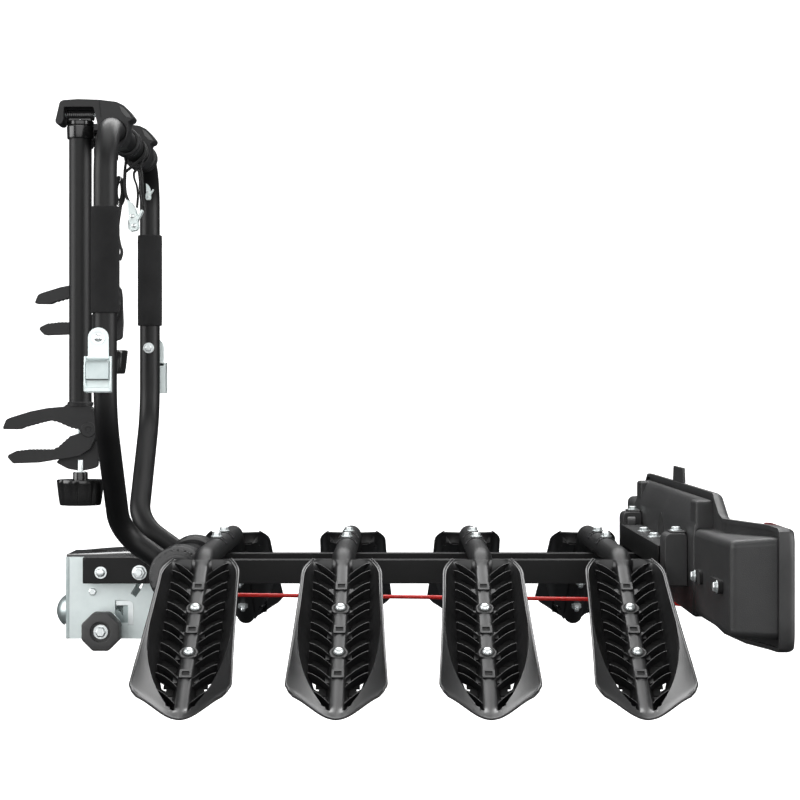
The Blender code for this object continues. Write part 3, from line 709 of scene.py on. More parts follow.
BOARD_MIDDLE_X = 0.935
PANEL_HALF_Y = 0.352
RIM_MIDDLE_Z = 0.09
RIM_HALF = [
    (0.0, 0.197), (0.1, 0.197), (0.2, 0.197), (0.3, 0.197), (0.36, 0.1968), (0.373, 0.1955), (0.385, 0.1905),
    (0.425, 0.1725), (0.444, 0.1665), (0.5, 0.165), (0.55, 0.164), (0.586, 0.1625), (0.594, 0.1585),
    (0.597, 0.15), (0.597, 0.118), (0.597, 0.05), (0.597, 0.022), (0.594, 0.012), (0.586, 0.007),
    (0.55, 0.0062), (0.5, 0.008), (0.45, 0.015), (0.43, 0.019), (0.36, 0.0215), (0.2, 0.022), (0.0, 0.022)]


def make_board():
    front, back = (corner.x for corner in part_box("board_shell"))
    inside = BOARD_MIDDLE_X - 0.009
    profile = [(front, 0.0265), (front, 0.148), (front + 0.004, 0.158), (front + 0.0125, 0.179),
               (front + 0.0185, 0.186), (inside, 0.186), (inside, 0.0265)]
    panel = prism(profile, "Y", -PANEL_HALF_Y, PANEL_HALF_Y)
    pocket = (front + 0.003, BOARD_MIDDLE_X - 0.005)
    for sign in SIDES.values():
        box(pocket, span(sign, 0.3, PANEL_HALF_Y + 0.001), (0.144, 0.185), panel)
    add("board_shell_front", panel, BOARD, "platform", ("board_shell",), bevel=0.007, segments=5)
    for side, sign in SIDES.items():
        rings = []
        for y, x, low, high in ((0.345, front + 0.0008, 0.029, 0.147), (0.44, front + 0.0055, 0.028, 0.147),
                                (0.5905, 0.911, 0.025, 0.147)):
            rings.append([(x, sign * y, low), (back - 0.012, sign * y, low - 0.003),
                          (back - 0.012, sign * y, high + 0.004), (x, sign * y, high)])
        add(f"lamp_housing_{side}", loft(rings), BOARD, "platform", bevel=0.01, segments=6, angle=40.0)
    make_board_rim(back)
    make_board_details(front, back)


def towards_lamp(y):
    """0 along the middle of the board, rising to 1 at the lamps."""
    return smooth(abs(y), 0.425, 0.58)


def rim_depth(y, back):
    """How far back the rim's front edge stands: deep at the lamps, shallow in the middle."""
    t = towards_lamp(y)
    return (BOARD_MIDDLE_X - 0.0135) * (1 - t) + (back - 0.02) * t


def inset(points, amount):
    """The rim's outline moved inwards: up or down everywhere, and sideways at its ends."""
    out = []
    for y, z in points:
        side = amount if abs(y) > 0.59 else 0.0
        out.append((math.copysign(max(0.0, abs(y) - side), y), z + (-amount if z > RIM_MIDDLE_Z else amount)))
    return out


def make_board_rim(back):
    """The flange round the board: it stands proud of the shell and steps back at the lamps."""
    outline = mirrored_outline(RIM_HALF)
    rings = []
    for amount, from_back in ((0.0, None), (0.0, 0.0085), (0.001, 0.0045), (0.0028, 0.0016), (0.0052, 0.0),
                              (0.0056, 0.004), (0.0056, None)):
        points = []
        for (y, _), moved in zip(outline, inset(outline, amount)):
            t = towards_lamp(y)
            start = rim_depth(y, back)
            end = start + 0.0135 * (1 - t) + 0.0205 * t
            points.append((start if from_back is None else end - from_back, *moved))
        rings.append(points)
    add("board_rim", loft(rings, closed=True), BOARD, "platform", angle=40.0)
    make_rim_web(back)


def level(table, y):
    """A height between two points of a table of heights."""
    after = min((k for k in table if k >= y), default=max(table))
    before = max((k for k in table if k <= y), default=min(table))
    share = 0.0 if after == before else (y - before) / (after - before)
    return table[before] * (1 - share) + table[after] * share


def make_rim_web(back):
    """The thin wall inside the rim."""
    tops = {y: z for y, z in RIM_HALF if z > RIM_MIDDLE_Z}
    lows = {y: z for y, z in RIM_HALF if z <= RIM_MIDDLE_Z}
    thick, gap = 0.003, 0.004
    bm = bmesh.new()
    for sign in SIDES.values():
        columns = []
        for y in sorted({y for y, _ in RIM_HALF if y <= 0.5945}):
            x = rim_depth(y, back) + gap
            low, high = level(lows, y) + gap, level(tops, y) - gap
            corners = ((x, low), (x, high), (x + thick, high), (x + thick, low))
            columns.append([bm.verts.new((along, sign * y, up)) for along, up in corners])
        for one, two in zip(columns, columns[1:]):
            for k in range(4):
                n = (k + 1) % 4
                bm.faces.new((one[k], one[n], two[n], two[k]))
        bm.faces.new(columns[-1])
    bmesh.ops.remove_doubles(bm, verts=bm.verts, dist=1e-6)
    add("board_rim_web", bm, BOARD, "platform")


def make_board_details(front, back):
    # painted shade: dark prisms stand for the arch opening and the slots in the panel front
    dark = bmesh.new()
    arch = rounded_outline([(-0.036, 0.1), (0.036, 0.1), (0.03, 0.137), (0.0, 0.153), (-0.03, 0.137)], 0.012)
    prism(arch, "X", front - 0.0004, front + 0.004, dark)
    for sign in SIDES.values():
        for y, half, skin in ((0.372, 0.011, 0.0022), (0.402, 0.014, 0.0034), (0.515, 0.034, 0.008)):
            slot = rounded_outline(rectangle((sign * y - half, sign * y + half), (0.0765, 0.0935)), 0.006)
            prism(slot, "X", front + skin - 0.0036, front + 0.018, dark)
    add("board_openings", dark, SHADE, "platform", slot="board_plastic")
    bolts = bmesh.new()
    for sign in SIDES.values():
        for y, skin in ((0.377, front - 0.0012), (0.538, front + 0.0044)):
            hex_head(bolts, "X", (sign * y, 0.085), skin + 0.0002, skin - 0.0058, 0.0068, 0.0085, -1)
    add("board_bolts", bolts, BRIGHT, "platform", bevel=0.0004)
    ribs = bmesh.new()
    count = 26
    for sign in SIDES.values():
        for i in range(count):
            z = 0.02 + 0.134 * i / count
            box((back - 0.0012, back + 0.0002), span(sign, 0.44, 0.586), (z, z + 0.0028), ribs)
    add("lamp_lens_ribs", ribs, LENS, "platform")
    for side in SIDES:
        refined(f"lamp_lens_{side}", LENS, 0.0008)
    refined("plate_panel", BOARD, 0.001)
    low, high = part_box("plate_clip")
    clip = mirrored_outline([(0.0, high.z), (0.053, high.z), (0.06, low.z), (0.0, low.z)])
    add("plate_clip_moulding", prism(clip, "X", low.x, high.x), BOARD, "clip", ("plate_clip",), bevel=0.0012)


# ---------------------------------------------------------------- folding frame


def make_frame():
    half = [(FRAME_X, -LEG_Y, FRAME_TOP), (FRAME_X, -LEG_Y, 0.299), (FRAME_X, -0.108, 0.128),
            (FOLD_PIVOT[0] - 0.032, -0.108, FOLD_PIVOT[1] + 0.023)]
    radii = (0.075, 0.12, 0.06)
    points = half[::-1] + [(x, -y, z) for x, y, z in half]
    path = rounded_path(points, radii[::-1] + radii)
    add("u_frame_coated", round_tube(path, FRAME_R, 40), COATED, "frame", ("u_frame",))
    for side, sign in SIDES.items():
        make_hub(side, sign)
        make_grip(side, sign)
        make_leg_buckle(side, sign)
        make_bar_collar(f"bar_collar_{side}")
    centre = [(-0.044, 0.03)]
    for i in range(6):
        y = -0.044 + i * 0.0147
        centre += [(y + 0.001, 0.0335), (y + 0.0025, 0.0358), (y + 0.0095, 0.0358), (y + 0.0112, 0.0335)]
    centre.append((0.044, 0.03))
    add("hub_centre_ribbed", turned("Y", FOLD_PIVOT, centre, 64), HUB, "platform", ("hub_centre",))
    refined("pivot_axle", BRIGHT, 0.0006)


def make_bar_collar(node):
    """A collar on the top bar, in two steps with a groove between them."""
    low, high = (corner.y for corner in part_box(node))
    profile = [(low, 0.0195), (low + 0.001, 0.0213), (low + 0.01, 0.0215), (low + 0.0108, 0.0198),
               (low + 0.0126, 0.0198), (low + 0.0134, 0.0222), (high - 0.001, 0.0222), (high, 0.0205),
               (high, 0.0166), (low, 0.0166)]
    collar = turned("Y", (FRAME_X, FRAME_TOP), profile, 56, closed=True)
    add(f"{node}_rings", collar, CLAW, "frame", (node,), bevel=0.0004)


def make_hub(side, sign):
    """The ribbed hub at the foot of a leg, and the toothed knob on its outer face."""
    low, high = 0.0822, 0.1328
    grooves = 4
    width = (high - low) / grooves
    rib = [(0.0016, 0.0385), (0.0022, 0.0428), (0.0034, 0.0438), (width * 0.5, 0.044),
           (width - 0.003, 0.0438), (width - 0.0018, 0.0428), (width - 0.0012, 0.0385)]
    profile = outward(sign, low, [(0.0, 0.01), (0.0, 0.039)])
    for i in range(grooves):
        profile += outward(sign, low + i * width, rib)
    profile += outward(sign, high, [(0.0, 0.039), (0.0, 0.01)])
    add(f"hub_{side}_ribbed", turned("Y", FOLD_PIVOT, profile, 72), HUB, "frame", (f"hub_{side}",))
    knob = f"hinge_knob_{side}"
    outline = []
    teeth = 24
    for i in range(teeth):
        for share, radius in ((0.0, 0.0398), (0.68, 0.0398), (0.74, 0.0372), (0.94, 0.0372)):
            angle = TAU * (i + share) / teeth
            along, up = radius * math.cos(angle), radius * math.sin(angle)
            outline.append((FOLD_PIVOT[0] + along, FOLD_PIVOT[1] + up))
    add(f"{knob}_toothed", prism(outline, "Y", *span(sign, 0.1335, 0.1455)), HUB, knob, (knob,), bevel=0.0006)
    steps = [(0.144, 0.033), (0.1475, 0.0322), (0.148, 0.019), (0.1462, 0.015), (0.1462, 0.0132)]
    add(f"{knob}_face", turned("Y", FOLD_PIVOT, outward(sign, 0.0, steps), 48), HUB, knob)


def make_grip(side, sign):
    """The foam sleeve: its ends are rounded and its skin is slightly uneven along its length."""
    node = f"foam_grip_{side}"
    low, high = (corner.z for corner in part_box(node))
    profile = [(low, 0.0172), (low, 0.019), (low + 0.0012, 0.02)]
    for i in range(1, 12):
        profile.append((low + (high - low) * i / 12, 0.0202 + 0.00018 * math.sin(3.1 * i)))
    profile += [(high - 0.0012, 0.02), (high, 0.019), (high, 0.0172)]
    grip = turned("Z", (FRAME_X, sign * LEG_Y), profile, 56, closed=True)
    piece = add(f"{node}_sleeve", grip, FOAM, "frame", (node,))


def make_leg_buckle(side, sign):
    """The cam buckle on a leg: a tab on a rivet, two cheeks, a bar and the lever."""
    x, skin = FRAME_X + sign * 0.007, LEG_Y + FRAME_R + 0.0003
    rivet_z, half = 0.41, 0.0145
    bm = bmesh.new()
    tab = [(x - half, 0.3785), (x + half, 0.3785), (x + half, rivet_z)]
    tab += [(x + half * math.cos(a), rivet_z + half * math.sin(a)) for a in
            (0.3, 0.6, 0.9, 1.2, 1.57, 1.94, 2.24, 2.54, 2.84)]
    tab.append((x - half, rivet_z))
    prism(tab, "Y", *span(sign, skin, skin + 0.0024), bm=bm)
    turned("X", (sign * (skin + 0.006), 0.3815), [(x - 0.015, 0.003), (x + 0.015, 0.003)], 16, bm)
    cheek = [(0.0, 0.333), (0.0105, 0.3345), (0.0118, 0.345), (0.0105, 0.372), (0.007, 0.384), (0.0, 0.384)]
    for edge in (-1, 1):
        sides = sorted((x + edge * 0.0168, x + edge * 0.0192))
        prism([(sign * (skin + out), z) for out, z in cheek], "X", *sides, bm=bm)
    box((x - 0.0192, x + 0.0192), span(sign, skin, skin + 0.0022), (0.333, 0.384), bm)
    box((x - 0.0178, x + 0.0178), span(sign, skin + 0.0022, skin + 0.01), (0.3345, 0.3405), bm)
    add(f"leg_buckle_{side}_steel", bm, ZINC, "frame", (f"leg_buckle_{side}",), bevel=0.0006)
    head = [(0.0024, 0.0098), (0.0034, 0.0094), (0.003, 0.006), (0.0052, 0.004), (0.0058, 0.0022)]
    add(f"leg_buckle_{side}_rivet", turned("Y", (x, rivet_z), outward(sign, skin, head), 32), BRIGHT, "frame")
    inner, centre = LEG_Y - FRAME_R, (FRAME_X, 0.408)
    bolt = turned("Y", centre, outward(sign, inner, [(0.001, 0.0088), (-0.0016, 0.0088)]), 32)
    hex_head(bolt, "Y", centre, sign * (inner - 0.0016), sign * (inner - 0.006), 0.0062, 0.0, -sign)
    add(f"leg_bolt_{side}", bolt, BRIGHT, "frame", bevel=0.0004)
    lever = f"buckle_lever_{side}"
    face = [(0.0045, 0.3775), (0.012, 0.378), (0.014, 0.3735), (0.015, 0.352), (0.0136, 0.35),
            (0.0122, 0.3525), (0.0112, 0.366), (0.0045, 0.368)]
    shape = prism([(sign * (skin + out), z) for out, z in face], "X", x - 0.0158, x + 0.0158)
    add(f"{lever}_steel", shape, GREY, lever, (lever,), bevel=0.0006)


# ---------------------------------------------------------------- bicycle arms


def toothed(points, first, last, depth=0.0012, pitch=0.006):
    """Adds small steps to the stretches of an outline between two of its points."""
    out = []
    for i, point in enumerate(points):
        out.append(point)
        if first <= i < last:
            a, b = Vector(point), Vector(points[i + 1])
            count = max(1, round((b - a).length / pitch))
            normal = Vector((-(b - a).y, (b - a).x)).normalized() * depth
            for k in range(count):
                if k:
                    out.append(tuple(a.lerp(b, k / count)))
                out.append(tuple(a.lerp(b, (k + 0.75) / count) + normal))
    return out


def lifted(outline, lift):
    return [(x, z + lift) for x, z in outline]


def on_arm(place_y, profile, sides, lift=0.0):
    """A shape turned about the arm's own line, from (height, radius) pairs."""
    return turned("Z", (ARM_X, place_y), [(z + lift, radius) for z, radius in profile], sides)


def make_arm(side, place_y, lift):
    body = f"arm_{side}"
    make_head(side, place_y)
    bottom, top = 0.3165 + lift, 0.706
    tube = turned("Z", (ARM_X, place_y), [(bottom, 0.0165), (top, 0.0165), (top, 0.015), (bottom, 0.015)],
                  48, closed=True)
    add(f"{body}_tube", tube, COATED, body, (body,))
    collar = [(0.704, 0.0168), (0.704, 0.0186), (0.7056, 0.0192), (0.7215, 0.0197), (0.7232, 0.0185),
              (0.7236, 0.0188), (0.7244, 0.0196), (0.729, 0.0196), (0.7302, 0.0184)]
    add(f"{body}_collar", on_arm(place_y, collar, 56), KNOB, body)
    ribs = []
    for i in range(14):
        x = 0.0112 + i * 0.00283
        ribs += [(x, 0.0078), (x + 0.0009, 0.0083), (x + 0.0019, 0.0083), (x + 0.0027, 0.0078)]
    roller = turned("X", (place_y, SWIVEL_Z), ribs, 40)
    box((0.0145, 0.0467), (place_y - 0.0058, place_y + 0.0058), (0.7285, 0.7385), roller)
    add(f"{body}_roller", roller, HUB, body, bevel=0.0003)
    make_claw(side, place_y, lift)
    make_clamp_knob(side, place_y, lift)


def make_head(side, place_y):
    """The head that clamps on the top bar, with the pin that the arm swivels on."""
    half = 0.0218
    body, node = f"head_{side}", f"arm_head_{side}"
    outline = [(-0.003, 0.7275), (0.0035, 0.7555), (0.008, 0.7585), (0.03, 0.76), (0.061, 0.759),
               (0.086, 0.756), (0.0965, 0.751), (0.105, 0.743), (0.1112, 0.7345), (0.109, 0.7295),
               (0.103, 0.727), (0.1035, 0.715), (0.0995, 0.7), (0.093, 0.6905), (0.083, 0.688), (0.072, 0.69),
               (0.063, 0.698), (0.06, 0.712), (0.058, 0.725), (0.0528, 0.7482), (0.0095, 0.7482),
               (0.009, 0.729), (0.006, 0.7232), (-0.001, 0.7235)]
    shape = prism(rounded_outline(outline, 0.0022, 2), "Y", place_y - half, place_y + half)
    head = add(f"{node}_moulding", shape, CLAW, body, (node,), bevel=0.0024, angle=50.0)
    bar_hole = [(place_y - 0.05, 0.0171), (place_y + 0.05, 0.0171)]
    cut_away(head, turned("Y", (FRAME_X, FRAME_TOP), bar_hole, 48))
    seam_line = [(0.0606, 0.758), (0.0618, 0.7578), (0.0645, 0.733), (0.0633, 0.7328)]
    strip = [(0.0905, 0.75), (0.0965, 0.7468), (0.104, 0.7385), (0.1085, 0.7315), (0.101, 0.733),
             (0.094, 0.741)]
    seam, pads = bmesh.new(), bmesh.new()
    for sign in (-1, 1):
        prism(seam_line, "Y", *(place_y + v for v in span(sign, half + 0.0002, half - 0.003)), bm=seam)
        prism(strip, "Y", *(place_y + v for v in span(sign, half + 0.001, half - 0.004)), bm=pads)
    add(f"{node}_seam", seam, SHADE, body, slot="claw_plastic")
    add(f"{node}_pad", pads, WHEEL, body, bevel=0.0008)
    add(f"{node}_pin", turned("X", (place_y, SWIVEL_Z), [(0.005, 0.003), (0.054, 0.003)], 20), ZINC, body)
    stud = turned("Y", (0.0312, 0.7305), [(place_y - 0.0075, 0.0016), (place_y - 0.004, 0.0016)], 16)
    add(f"arm_{side}_stud", stud, BRIGHT, f"arm_{side}")


def make_claw(side, place_y, lift):
    """The claw: its upper jaw rides on the arm, and the lower jaw turns on a disc."""
    half = 0.0122
    body, jaw_body = f"arm_{side}", f"claw_jaw_{side}"

    def plate(outline, corner, near, far, steps=4):
        shape = lifted(rounded_outline(outline, corner, steps), lift)
        return prism(shape, "Y", place_y + near, place_y + far)

    upper = [(-0.0805, 0.283), (-0.08, 0.28), (-0.0575, 0.2797), (-0.053, 0.2814), (-0.027, 0.2886),
             (-0.012, 0.2922), (0.0, 0.2898), (0.019, 0.2814), (0.031, 0.279), (0.056, 0.28),
             (0.056, 0.29), (0.0545, 0.303), (0.049, 0.311), (0.043, 0.3165), (0.012, 0.3165),
             (0.009, 0.3132), (-0.016, 0.311), (-0.041, 0.306), (-0.07, 0.297), (-0.076, 0.294)]
    add(f"claw_{side}_upper", plate(toothed(upper, 3, 8), 0.0018, -half, half, 2), CLAW, body,
        (f"claw_{side}",), bevel=0.002, angle=48.0)
    web = [(0.056, 0.29), (0.0575, 0.25), (0.056, 0.225), (0.048, 0.2217), (0.031, 0.2186),
           (0.012, 0.2217), (-0.006, 0.2314), (0.006, 0.242), (0.024, 0.262), (0.031, 0.285)]
    add(f"claw_{side}_web", plate(web, 0.004, 0.001, half - 0.0004), CLAW, body, bevel=0.0012, angle=48.0)
    collar = [(0.314, 0.0184), (0.3185, 0.019), (0.32, 0.018), (0.32, 0.0166)]
    add(f"claw_{side}_collar", on_arm(place_y, collar, 48, lift), CLAW, body)

    jaw = [(0.0545, 0.2775), (0.053, 0.265), (0.046, 0.251), (0.031, 0.2415), (0.012, 0.238),
           (-0.027, 0.2314), (-0.0655, 0.23), (-0.0739, 0.239), (-0.0727, 0.2427), (-0.063, 0.2475),
           (-0.041, 0.25), (-0.0075, 0.25), (0.0, 0.2536), (0.019, 0.2705), (0.031, 0.2745)]
    add(f"{jaw_body}_cheek", plate(toothed(jaw, 9, 13), 0.0018, -half, 0.0002, 2), CLAW, jaw_body,
        (jaw_body,), bevel=0.002, angle=48.0)
    tip = [(-0.016, 0.2334), *jaw[5:11], (-0.016, 0.25)]
    add(f"{jaw_body}_tip", plate(tip, 0.002, 0.003 - half, half), CLAW, jaw_body, bevel=0.002, angle=48.0)
    rim = [(0.006, 0.0112), (-0.0006, 0.0112), (-0.0014, 0.0104), (-0.0014, 0.0048), (-0.0004, 0.0042),
           (-0.0004, 0.002)]
    near = place_y - half
    pivot = (CLAW_PIVOT[0], CLAW_PIVOT[1] + lift)
    disc = turned("Y", pivot, [(near + out, radius) for out, radius in rim], 48)
    add(f"{jaw_body}_disc", disc, CLAW, jaw_body)
    screw = turned("Z", (0.0285, place_y), [(0.264 + lift, 0.0022), (0.286 + lift, 0.0022)], 16)
    add(f"claw_{side}_screw", screw, ZINC, body)


def make_clamp_knob(side, place_y, lift):
    """The fluted knob under a claw, with its stem and screw."""
    body = f"claw_knob_{side}"
    rings = []
    count = 96
    for z, radius, flute in ((0.169, 0.027, 0.0), (0.169, 0.029, 0.5), (0.171, 0.0302, 1.0),
                             (0.18, 0.0316, 1.0), (0.19, 0.0328, 1.0), (0.201, 0.034, 1.0),
                             (0.2045, 0.0345, 0.5), (0.2063, 0.0335, 0.1), (0.2063, 0.013, 0.0)):
        ring = []
        for i in range(count):
            angle = TAU * i / count
            r = radius - 0.0026 * flute * max(0.0, math.cos(8 * angle)) ** 6
            ring.append((ARM_X + r * math.cos(angle), place_y + r * math.sin(angle), z + lift))
        rings.append(ring)
    add(f"{body}_fluted", loft(rings), KNOB, body, (body,), angle=42.0)
    stem = [(0.205, 0.011), (0.2165, 0.0108), (0.2172, 0.01)]
    add(f"{body}_stem", on_arm(place_y, stem, 40, lift), KNOB, body)
    screw = [(0.2165, 0.0085), (0.2181, 0.0085), (0.2181, 0.004), (0.235, 0.004)]
    add(f"{body}_screw", on_arm(place_y, screw, 24, lift), BRIGHT, body)


# ---------------------------------------------------------------- straps


def ribbon(path, width, thick, bm):
    """A flat strap along a path, its width along Y."""
    path = [Vector(p) for p in path]
    across = Vector((0.0, 1.0, 0.0))
    rings = []
    for i, point in enumerate(path):
        tangent = (path[min(i + 1, len(path) - 1)] - path[max(i - 1, 0)]).normalized()
        side = (across - tangent * across.dot(tangent)).normalized() * (width / 2)
        face = tangent.cross(side).normalized() * (thick / 2)
        rings.append([point + side + face, point - side + face, point - side - face, point + side - face])
    loft(rings, bm=bm)


def smooth_path(points, steps=8):
    """A Catmull-Rom curve through the given points."""
    points = [Vector(p) for p in points]
    out = []
    for i in range(len(points) - 1):
        a, b, c, d = (points[min(max(i + k, 0), len(points) - 1)] for k in (-1, 0, 1, 2))
        for k in range(steps):
            t = k / steps
            out.append(0.5 * ((2 * b) + (c - a) * t + (2 * a - 5 * b + 4 * c - d) * t * t
                              + (3 * b - a - 3 * c + d) * t ** 3))
    out.append(points[-1])
    return out


def bar_loop(y, lean, meet):
    """A strap's path over the top bar, its two sides meeting below at (x, z)."""
    radius = FRAME_R + 0.0022
    points = [(meet[0] + 0.0015, y, meet[1])]
    for degrees in (-50, -10, 30, 70, 110, 150, 190, 230):
        angle = math.radians(degrees)
        across, up = math.cos(angle), math.sin(angle)
        points.append((FRAME_X + radius * across, y + lean * up, FRAME_TOP + radius * up))
    points.append((meet[0], y, meet[1] + 0.001))
    return smooth_path(points)


def strap_path(y, points):
    return smooth_path([(x, y, z) for x, z in points])


def make_straps():
    bm = bmesh.new()
    y, width = 0.052, 0.017
    ribbon(bar_loop(y, 0.004, (0.069, 0.678)), width, 0.0018, bm)
    upper = [(0.0695, 0.679), (0.0688, 0.66), (0.0702, 0.645), (0.0745, 0.633), (0.079, 0.624)]
    ribbon(strap_path(y, upper), width, 0.003, bm)
    loose_end = [(0.088, 0.622), (0.0895, 0.64), (0.088, 0.655), (0.0838, 0.668), (0.0838, 0.677),
                 (0.089, 0.681), (0.093, 0.672), (0.0925, 0.655), (0.0935, 0.64), (0.0968, 0.624)]
    ribbon(strap_path(y, loose_end), 0.012, 0.0022, bm)
    lower = [(0.063, 0.628), (0.059, 0.6), (0.058, 0.585), (0.061, 0.566), (0.0645, 0.553), (0.061, 0.54)]
    ribbon(strap_path(y, lower), width, 0.0028, bm)
    for turn in range(5):
        rx, rz = 0.0036 + turn * 0.0012, 0.014 + turn * 0.0022
        coil = [(0.0605 + rx * math.cos(TAU * k / 28), y + 0.0007 * turn, 0.648 + rz * math.sin(TAU * k / 28))
                for k in range(29)]
        ribbon(coil, 0.0165, 0.001, bm)
    add("strap_left_webbing", bm, WEB, "frame", ("strap_left",), angle=60.0)
    bm = bmesh.new()
    y = 0.076
    ribbon(bar_loop(y, 0.003, (0.089, 0.69)), 0.014, 0.0016, bm)
    hanging = [(0.0895, 0.692), (0.0925, 0.676), (0.0935, 0.655), (0.0945, 0.635), (0.0965, 0.62)]
    ribbon(strap_path(y, hanging), 0.013, 0.0026, bm)
    add("strap_right_webbing", bm, WEB, "frame", ("strap_right",), angle=60.0)
    strap_buckle("strap_left_buckle", (0.083, 0.052, 0.61), 1.0, -0.04)
    strap_buckle("strap_right_buckle", (0.103, 0.08, 0.6496), 0.52, 0.05)


def strap_buckle(name, place, size, lean):
    """A cam buckle on a strap: two bent cheeks, a base bar, a cam lever and rivets."""
    half = 0.01
    cheek = [(-0.0085, 0.0245), (-0.002, 0.02), (0.004, 0.009), (0.006, -0.003), (0.0075, -0.019),
             (0.004, -0.024), (-0.006, -0.025), (-0.0085, -0.02), (-0.0085, -0.01), (-0.006, -0.006)]
    lever = [(0.0035, -0.008), (0.006, -0.002), (0.013, 0.0085), (0.0152, 0.006), (0.01, -0.004),
             (0.006, -0.01)]
    rivet = [(-half * 1.14, 0.002), (-half * 1.06, 0.0034), (half * 1.06, 0.0034), (half * 1.14, 0.002)]
    bm, rivets = bmesh.new(), bmesh.new()
    for edge in (-1, 1):
        prism(rounded_outline(cheek, 0.0016), "Y", *span(edge, half, half - 0.0016), bm=bm)
    box((-0.0075, -0.006), (-half, half), (-0.022, -0.006), bm)
    prism(rounded_outline(lever, 0.0008), "Y", -half * 0.8, half * 0.8, bm)
    for centre in ((-0.001, -0.002), (0.001, -0.0165)):
        turned("Y", centre, rivet, 20, rivets)
    move = Matrix.Translation(place) @ Matrix.Rotation(lean, 4, "Y") @ Matrix.Scale(size, 4)
    for mesh in (bm, rivets):
        bmesh.ops.transform(mesh, matrix=move, verts=mesh.verts)
    add(name, bm, ZINC, "frame", bevel=0.0004)
    add(f"{name}_rivets", rivets, BRIGHT, "frame")


# ---------------------------------------------------------------- coupling


def make_coupling():
    refined("coupling_housing", ZINC, 0.0008)
    low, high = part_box("coupling_housing")
    edges = bmesh.new()
    for sign in SIDES.values():
        box((low.x - 0.0006, low.x + 0.0048), span(sign, 0.0462, 0.0496), (low.z, high.z - 0.0004), edges)
    add("housing_front_edges", edges, GREY, "coupling", bevel=0.0012)
    make_cover()
    band = [(0.0694, 0.012), (0.0694, 0.0199), (0.088, 0.0199), (0.0925, 0.0185), (0.0952, 0.015),
            (0.096, 0.01), (0.096, -0.0172), (0.0873, -0.0172), (0.0873, 0.012)]
    wall = -0.0494
    add("housing_band", prism(band, "Y", wall - 0.0003, wall + 0.003), BRIGHT, "coupling", bevel=0.0006)
    inner = box((0.079, 0.09), (-0.044, -0.04), (-0.03, 0.019))
    tongue = [(0.066, -0.016), (0.08, -0.016), (0.079, -0.004), (0.075, 0.003), (0.066, 0.006)]
    prism(tongue, "Y", -0.044, -0.033, inner)
    add("housing_inner_bracket", inner, GREY, "coupling", bevel=0.0008)
    bolts = bmesh.new()
    for sign in SIDES.values():
        hex_head(bolts, "Y", (0.034, 0.033), sign * 0.049, sign * 0.0525, 0.0062, 0.0, sign)
    add("housing_bolts", bolts, BRIGHT, "coupling", bevel=0.0006)
    make_cup("ball_cup", "coupling", math.pi)
    make_cup("ball_jaw", "jaw_slider", 0.0)
    refined("latch_pawl", GREY, 0.0006)
    make_hand_wheel()


def make_cover():
    """The moulded cover: its crown rises and bows from the front edge to the back."""
    low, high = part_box("coupling_cover")
    side, lip = 0.0496, 0.0022
    rings = []
    for i in range(15):
        t = i / 14
        x = low.x + (high.x - low.x) * t
        rise = 0.0085 * (1 - (1 - t) ** 1.8)
        ring = [(x, -side, low.z), (x, -side, low.z + lip)]
        for k in range(13):
            w = -1 + k / 6
            ring.append((x, 0.0488 * w, low.z + 0.0031 + rise * (1 - w * w) ** 0.8))
        ring += [(x, side, low.z + lip), (x, side, low.z)]
        rings.append(ring)
    add("coupling_cover_moulding", loft(rings), HUB, "coupling", ("coupling_cover",), angle=50.0)
    # painted shade: a dark block stands for the inside of the slot in the cover
    slit = box((0.03, 0.054), (-0.03, -0.0255), (0.0915, 0.0952))
    add("coupling_cover_slot", slit, SHADE, "coupling", slot="hub_plastic", bevel=0.0008)


def make_cup(node, body, facing):
    """Half of the round shell on the ball, open below for the ball's neck."""
    rings = []
    limit = math.radians(84)
    for i in range(25):
        turn = facing + math.radians(-86 + 172 * i / 24)
        ring = []
        for radius, order in ((0.028, 1), (0.0256, -1)):
            for k in range(25)[::order]:
                a = -limit + 2 * limit * k / 24
                ring.append((radius * math.cos(a) * math.cos(turn), radius * math.cos(a) * math.sin(turn),
                             radius * math.sin(a)))
        rings.append(ring)
    cup = add(f"{node}_pressing", loft(rings), GREY, body, (node,))
    neck = 0.0165
    cut_away(cup, box((-neck, neck), (-neck, neck), (-0.05, -0.012)))


def make_hand_wheel():
    """The lobed wheel that clamps the ball, its hex bolt, and the boss on the housing behind it."""
    low, high = (corner.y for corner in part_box("hand_wheel"))
    cx, cz = centre = (0.0546, -0.021)
    count = 84
    angles = [TAU * i / count + 0.22 for i in range(count)]
    lobes = [0.0288 - 0.0009 * math.cos(8 * a) + 0.0002 * math.cos(16 * a) for a in angles]
    circles = [(low, 0.0158), (low + 0.0012, 0.015), (low + 0.0065, 0.0142), (low + 0.0068, 0.009)]
    shapes = [(y, [lobe * scale for lobe in lobes]) for y, scale in
              ((high, 0.94), (high - 0.003, 1.0), (low + 0.004, 1.0), (low + 0.001, 0.965), (low, 0.9))]
    shapes += [(y, [radius] * count) for y, radius in circles]
    rings = [[(cx + r * math.cos(a), y, cz + r * math.sin(a)) for a, r in zip(angles, radii)]
             for y, radii in shapes]
    add("hand_wheel_moulding", loft(rings), WHEEL, "clamp_wheel", ("hand_wheel",), angle=40.0)
    screw = turned("Y", centre, [(low + 0.006, 0.0068), (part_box("clamp_screw")[1].y, 0.0068)], 28)
    hex_head(screw, "Y", centre, low + 0.0066, low - 0.0002, 0.0082, 0.011, -1)
    add("clamp_screw_bright", screw, BRIGHT, "clamp_wheel", ("clamp_screw",), bevel=0.0005)
    steps = [(-0.05, 0.0235), (-0.053, 0.0225), (-0.06, 0.015), (-0.0835, 0.013), (-0.0835, 0.0075)]
    add("housing_boss", turned("Y", centre, steps, 48), ZINC, "coupling")


# ---------------------------------------------------------------- release


